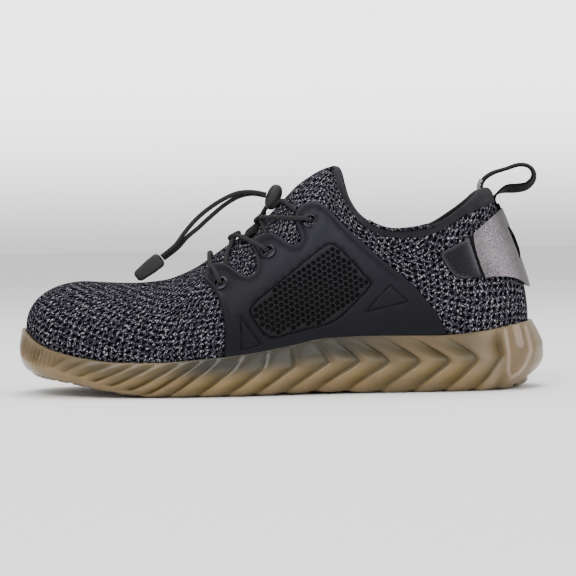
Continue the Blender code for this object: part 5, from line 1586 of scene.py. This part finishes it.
def makeStitches(name, path, slotName, thread):
    mesh = bpy.data.meshes.new(name)
    mesh.from_pydata([tuple(p) for p in path], [(i, i + 1) for i in range(len(path) - 1)], [])
    obj = link(name, mesh)
    sewing = obj.modifiers.new("sewing", "NODES")
    sewing.node_group = stitchRun
    for item in stitchRun.interface.items_tree:
        if item.name == "Thread":
            sewing[item.identifier] = thread
    done = bpy.data.meshes.new_from_object(obj.evaluated_get(bpy.context.evaluated_depsgraph_get()))
    obj.modifiers.remove(sewing)
    obj.data = done
    done.name = name
    return place(obj, slotName)


# Webbing, strap and tabs

def ribbon(name, path, twist, width, thick, material, node, slotName):
    # flat webbing along a path in the middle plane, with rounded selvedges
    path = np.array(path)
    run = runOf(path)
    ring = [(0.5, 0.30), (0.47, 0.5), (0.3, 0.54), (0.1, 0.5), (-0.1, 0.5), (-0.3, 0.54), (-0.47, 0.5),
            (-0.5, 0.30)]
    ring += [(-a, -b) for a, b in ring]
    ring = ring + ring[:1]
    vertices, uv = [], []
    for i, spot in enumerate(path):
        ahead = Vector(path[min(i + 1, len(path) - 1)] - path[max(i - 1, 0)]).normalized()
        flat = Vector((0.0, 1.0, 0.0))
        thickWay = ahead.cross(flat)
        turn = Matrix.Rotation(twist[i], 3, ahead)
        wide, deep = turn @ flat * width, turn @ thickWay * thick
        for a, b in ring:
            vertices.append(tuple(Vector(spot) + wide * a + deep * b))
            uv.append((a * width, run[i]))
    faces = gridFaces(len(path), len(ring))
    for end in (0, len(path) - 1):
        start = end * len(ring)
        for k in range(1, len(ring) - 2):
            faces.append((start, start + k, start + k + 1))
    obj = finishMesh(name, vertices, faces, material, uv=uv)
    return place(obj, slotName, *([node] if node else []))


pullLoop = {"width": 0.0090, "thick": 0.0012}
loopRoute = [  # along, height, twist in degrees
    (0.9010, 0.800, 0), (0.8930, 0.838, 0), (0.8860, 0.876, 2), (0.8860, 0.906, 5),
    (0.8915, 0.929, 7), (0.8995, 0.944, 8), (0.9110, 0.958, 8), (0.9333, 0.973, 7),
    (0.9577, 0.990, 9), (0.9757, 0.984, 13), (0.9853, 0.959, 18), (0.9853, 0.927, 22),
    (0.9723, 0.895, 27), (0.9530, 0.886, 30), (0.9350, 0.884, 27), (0.9240, 0.875, 14),
    (0.9155, 0.862, 4), (0.9110, 0.848, 0), (0.9100, 0.835, 0), (0.9130, 0.815, 0),
    (0.9185, 0.792, 0),
]


def buildLoop():
    rows = [(planX(a), h * shoe["instepHeight"], math.radians(t) * 0.001) for a, h, t in loopRoute]
    dense = evenly(curveThrough(rows, False, 12), 120)
    path = np.column_stack([dense[:, 0], np.zeros(len(dense)), dense[:, 1]])
    ribbon("pullLoopWebbing", path, dense[:, 2] * 1000, pullLoop["width"], pullLoop["thick"], webbing,
           "pull_loop", "webbing")
    # pale stitched end inside the collar
    short = [(0.8930, 0.838), (0.8860, 0.876), (0.8860, 0.906), (0.8905, 0.928)]
    path = curveThrough([(planX(a) - 0.0011, 0.0, h * shoe["instepHeight"]) for a, h in short], False, 8)
    ribbon("loopEndStitching", path, np.full(len(path), 0.12), 0.0074, 0.0011, paleStitch, None,
           "webbing")


buildLoop()


def heelUp(side, around, z):
    k = around * shoe["stations"]
    low = min(int(k), shoe["stations"] - 1)
    grid = sideRings[side]
    zs = grid[low, 1:, 2] * (1 - k + low) + grid[low + 1, 1:, 2] * (k - low)
    return float(np.interp(z, zs, np.arange(len(zs)) / (len(zs) - 1)))


def heelSheet(name, columns, rowsAcross, lowAt, highAt, frontAt, liftAt, shadeAt, thick, material, node,
              slotName, hole):
    # a band round the heel between two heights: s runs from the outer side's front edge to the inner side's
    vertices, shade = [], []
    for i in range(columns + 1):
        s = 2 * i / columns - 1
        side = outer if s < 0 else inner
        for j in range(rowsAcross + 1):
            t = j / rowsAcross
            around = 1 - abs(s) * (1 - frontAt(t))
            up = 0.6
            for _ in range(6):
                x = onLast(side, around, up)[0]
                z = lowAt(x) * (1 - t) + highAt(x) * t
                up = heelUp(side, around, z)
            vertices.append(onLast(side, around, up, liftAt(s, t)))
            shade.append(shadeAt(abs(s), t))
    faces = gridFaces(columns + 1, rowsAcross + 1)
    spots = np.array(vertices)
    faces = [f for f in faces if not hole(spots[list(f)].mean(0))]
    obj = finishMesh(name, vertices, faces, material, values={"shade": shade})
    if obj.data.polygons[0].normal.dot(Vector(spots[0] - np.array([0.05, 0.0, spots[0][2]]))) < 0:
        obj.data.flip_normals()
    addWall(obj, "hide", thick)
    softenEdges(obj, "skive")
    return place(obj, slotName, node)


strapTop = table("along height", [
    (0.855, 0.676), (0.868, 0.704), (0.884, 0.733), (0.903, 0.769), (0.916, 0.790), (0.930, 0.806),
])
strapLow = table("along height",
                 [(0.877, 0.492), (0.900, 0.496), (0.918, 0.494), (0.937, 0.484), (0.955, 0.462),
                  (0.970, 0.432)])
strapFront = table("height along", [(0.500, 0.8790), (0.589, 0.8670), (0.640, 0.8625), (0.676, 0.8615)])


strap = {"off": 0.0026, "curl": 0.0008, "tuck": 0.0012, "thick": 0.0012,
         "slotHalf": 0.0086, "slotLow": 0.0730, "slotHigh": 0.0912}


def buildStrap():
    def frontAt(t):
        share = 0.500 * (1 - t) + 0.676 * t
        return locate(outer, planX(read(strapFront, "along", share)), share * shoe["instepHeight"])[0]

    fronts = [frontAt(j / 16) for j in range(17)]
    front = lambda t: float(np.interp(t, np.arange(17) / 16, fronts))
    edgeAt = lambda rows, x: read(rows, "height", alongOf(x)) * shoe["instepHeight"]

    def liftAt(s, t):
        # it stands a little off the heel and curls out at its free lower edge
        off = strap["off"] + strap["curl"] * (1 - abs(s)) ** 2 * float(smooth(0.25, 0.0, t))
        return off - strap["tuck"] * float(smooth(0.86, 1.0, abs(s)))

    def shadeAt(s, t):
        # painted shade: darker where it turns away at the back and at the tab, and a little towards its top
        back, beside = float(smooth(0.72, 0.30, s)), float(smooth(0.72, 1.0, s))
        return 0.62 * back + 0.45 * beside * (1 - 0.3 * t) + 0.12 * float(smooth(0.55, 1.0, t))

    slot = lambda p: abs(p[1]) < strap["slotHalf"] and strap["slotLow"] < p[2] < strap["slotHigh"]
    return heelSheet("heelStrapLeather", 96, 30, lambda x: edgeAt(strapLow, x),
                     lambda x: edgeAt(strapTop, x), front,
                     liftAt, shadeAt, strap["thick"], strapLeather, "heel_strap", "leather", slot)


tabShape = [
    (0.866, 0.682, "corner"), (0.843, 0.656), (0.818, 0.627), (0.801, 0.606), (0.799, 0.592),
    (0.803, 0.575), (0.811, 0.541), (0.822, 0.509), (0.836, 0.494), (0.858, 0.492),
    (0.886, 0.498, "corner"), (0.882, 0.560, "corner"),
]


tab = {"thick": 0.0013, "rim": 0.0011, "stitchIn": 0.0019, "foldTop": (0.1056, 0.0825),
       "foldEnd": (0.1110, 0.0655)}


def buildTab(side):
    loop = closedOutline(tabShape, 0.0009)
    lines = [offsetLoop(loop, inset) for inset in (0.0005, 0.0011, 0.0019, 0.0026)]
    top, end = np.array(tab["foldTop"]), np.array(tab["foldEnd"])
    way = (end - top) / np.linalg.norm(end - top)
    foldLine = np.linspace(top + way * 0.0008, end - way * 0.0002, 22)
    lines += [foldLine + np.array([-way[1], way[0]]) * past for past in (-0.0012, 0.0, 0.0004)]
    points, faces = planarMesh(loop, [], [l for l in lines if len(l) > 3], 0.0016)
    away, _ = distanceTo(points, loop)
    front = smooth(0.1080, 0.1030, points[:, 0])
    bead = np.sin(np.clip(away / tab["rim"], 0, 1) * math.pi) * 0.0005 * front
    heights = tab["thick"] + bead - 0.0007 * (1 - np.clip(away / 0.0006, 0, 1)) ** 2
    # the fold beside the strap: it rises to an edge with a painted highlight, then drops into painted
    # shadow
    past = (points[:, 0] - top[0]) * -way[1] + (points[:, 1] - top[1]) * way[0]
    fold = np.exp(-np.clip(-past, 0, 1) / 0.0014) * (past <= 0.0002)
    heights += 0.0007 * np.where(past <= 0, fold, 0) - 0.0004 * (past > 0.0004)
    rim = np.clip(1 - np.abs(away - 0.0006) / 0.0007, 0, 1) * front
    pale = np.clip(0.85 * fold * smooth(0.060, 0.070, points[:, 1]) + 0.55 * rim, 0, 1)
    values = {"pale": pale, "shade": 1.0 * (past > 0.0003)}
    obj = wrapOnSide("strapTab" + word[side], side, points, faces, heights, 0.0002, tabLeather, values)
    place(obj, "leather_tab", "strap_tab_" + view[side])
    path = offsetLoop(loop, tab["stitchIn"])
    path = path[path[:, 0] < 0.1045]
    start = int(np.argmax(np.linalg.norm(np.roll(path, -1, axis=0) - path, axis=1))) + 1
    path = np.roll(path, -start, axis=0)
    run = [onSide(side, x, z, tab["thick"] + 0.00015) for x, z in path]
    makeStitches("tabStitches" + word[side], run, "leather_tab", darkThread)
    seam = [onSide(side, 0.1126, z, 0.0004) for z in np.linspace(0.0625, 0.0570, 5)]
    makeStitches("seamThread" + word[side], seam, "leather_tab", paleThread)


tape = {"low": 0.0625, "high": 0.1040, "width": 0.0108, "thick": 0.0010, "lift": 0.0009, "bow": 0.0012}


def buildTape():
    path = []
    for z in np.linspace(tape["low"], tape["high"], 40):
        up = heelUp(outer, 1.0, z)
        bow = tape["bow"] * float(smooth(0.0700, 0.0790, z) * (1 - smooth(0.0845, 0.0935, z)))
        path.append(onLast(outer, 0.9999, up, tape["lift"] + bow))
    path = np.array(path)
    path[:, 1] = 0.0
    return ribbon("heelTape", path, np.zeros(len(path)), tape["width"], tape["thick"], webbing,
                  "back_tape", "webbing")


keeper = {"front": 0.4390, "back": 0.4680, "reach": 0.24}


def buildKeeper():
    # webbing across the throat, over the ridge
    count = 17
    steps = [i / (count - 1) * 2 - 1 for i in range(count)]
    path = [ridgeKeeperPoint(outer if t < 0 else inner, abs(t)) for t in steps]
    vertices, uv = [], []
    for i, (a, b, n) in enumerate(path):
        for share, lift in ((0, 0.0004), (0.04, 0.0016), (0.5, 0.0017), (0.96, 0.0016), (1, 0.0004)):
            vertices.append(a * (1 - share) + b * share + n * lift)
            uv.append((share * 0.008, i * 0.0015))
    obj = finishMesh("laceKeeperTape", vertices, gridFaces(count, 5), webbing, uv=uv)
    place(obj, "webbing", "lace_keeper")


def ridgeKeeperPoint(side, t):
    spots = []
    for along in (keeper["front"], keeper["back"]):
        low, high = 0.0, shoe["throatEnd"]
        for _ in range(30):
            middle = (low + high) / 2
            low, high = (middle, high) if read(ridgeMatch, "along", middle) < along else (low, middle)
        spots.append((low, onLast(side, low, 1 - keeper["reach"] * t)))
    normal = lastNormal(side, spots[0][0], min(1 - keeper["reach"] * t, 0.99))
    return spots[0][1], spots[1][1], normal


buildStrap()
for side in (outer, inner):
    buildTab(side)
buildTape()
buildKeeper()
print("heel and webbing")
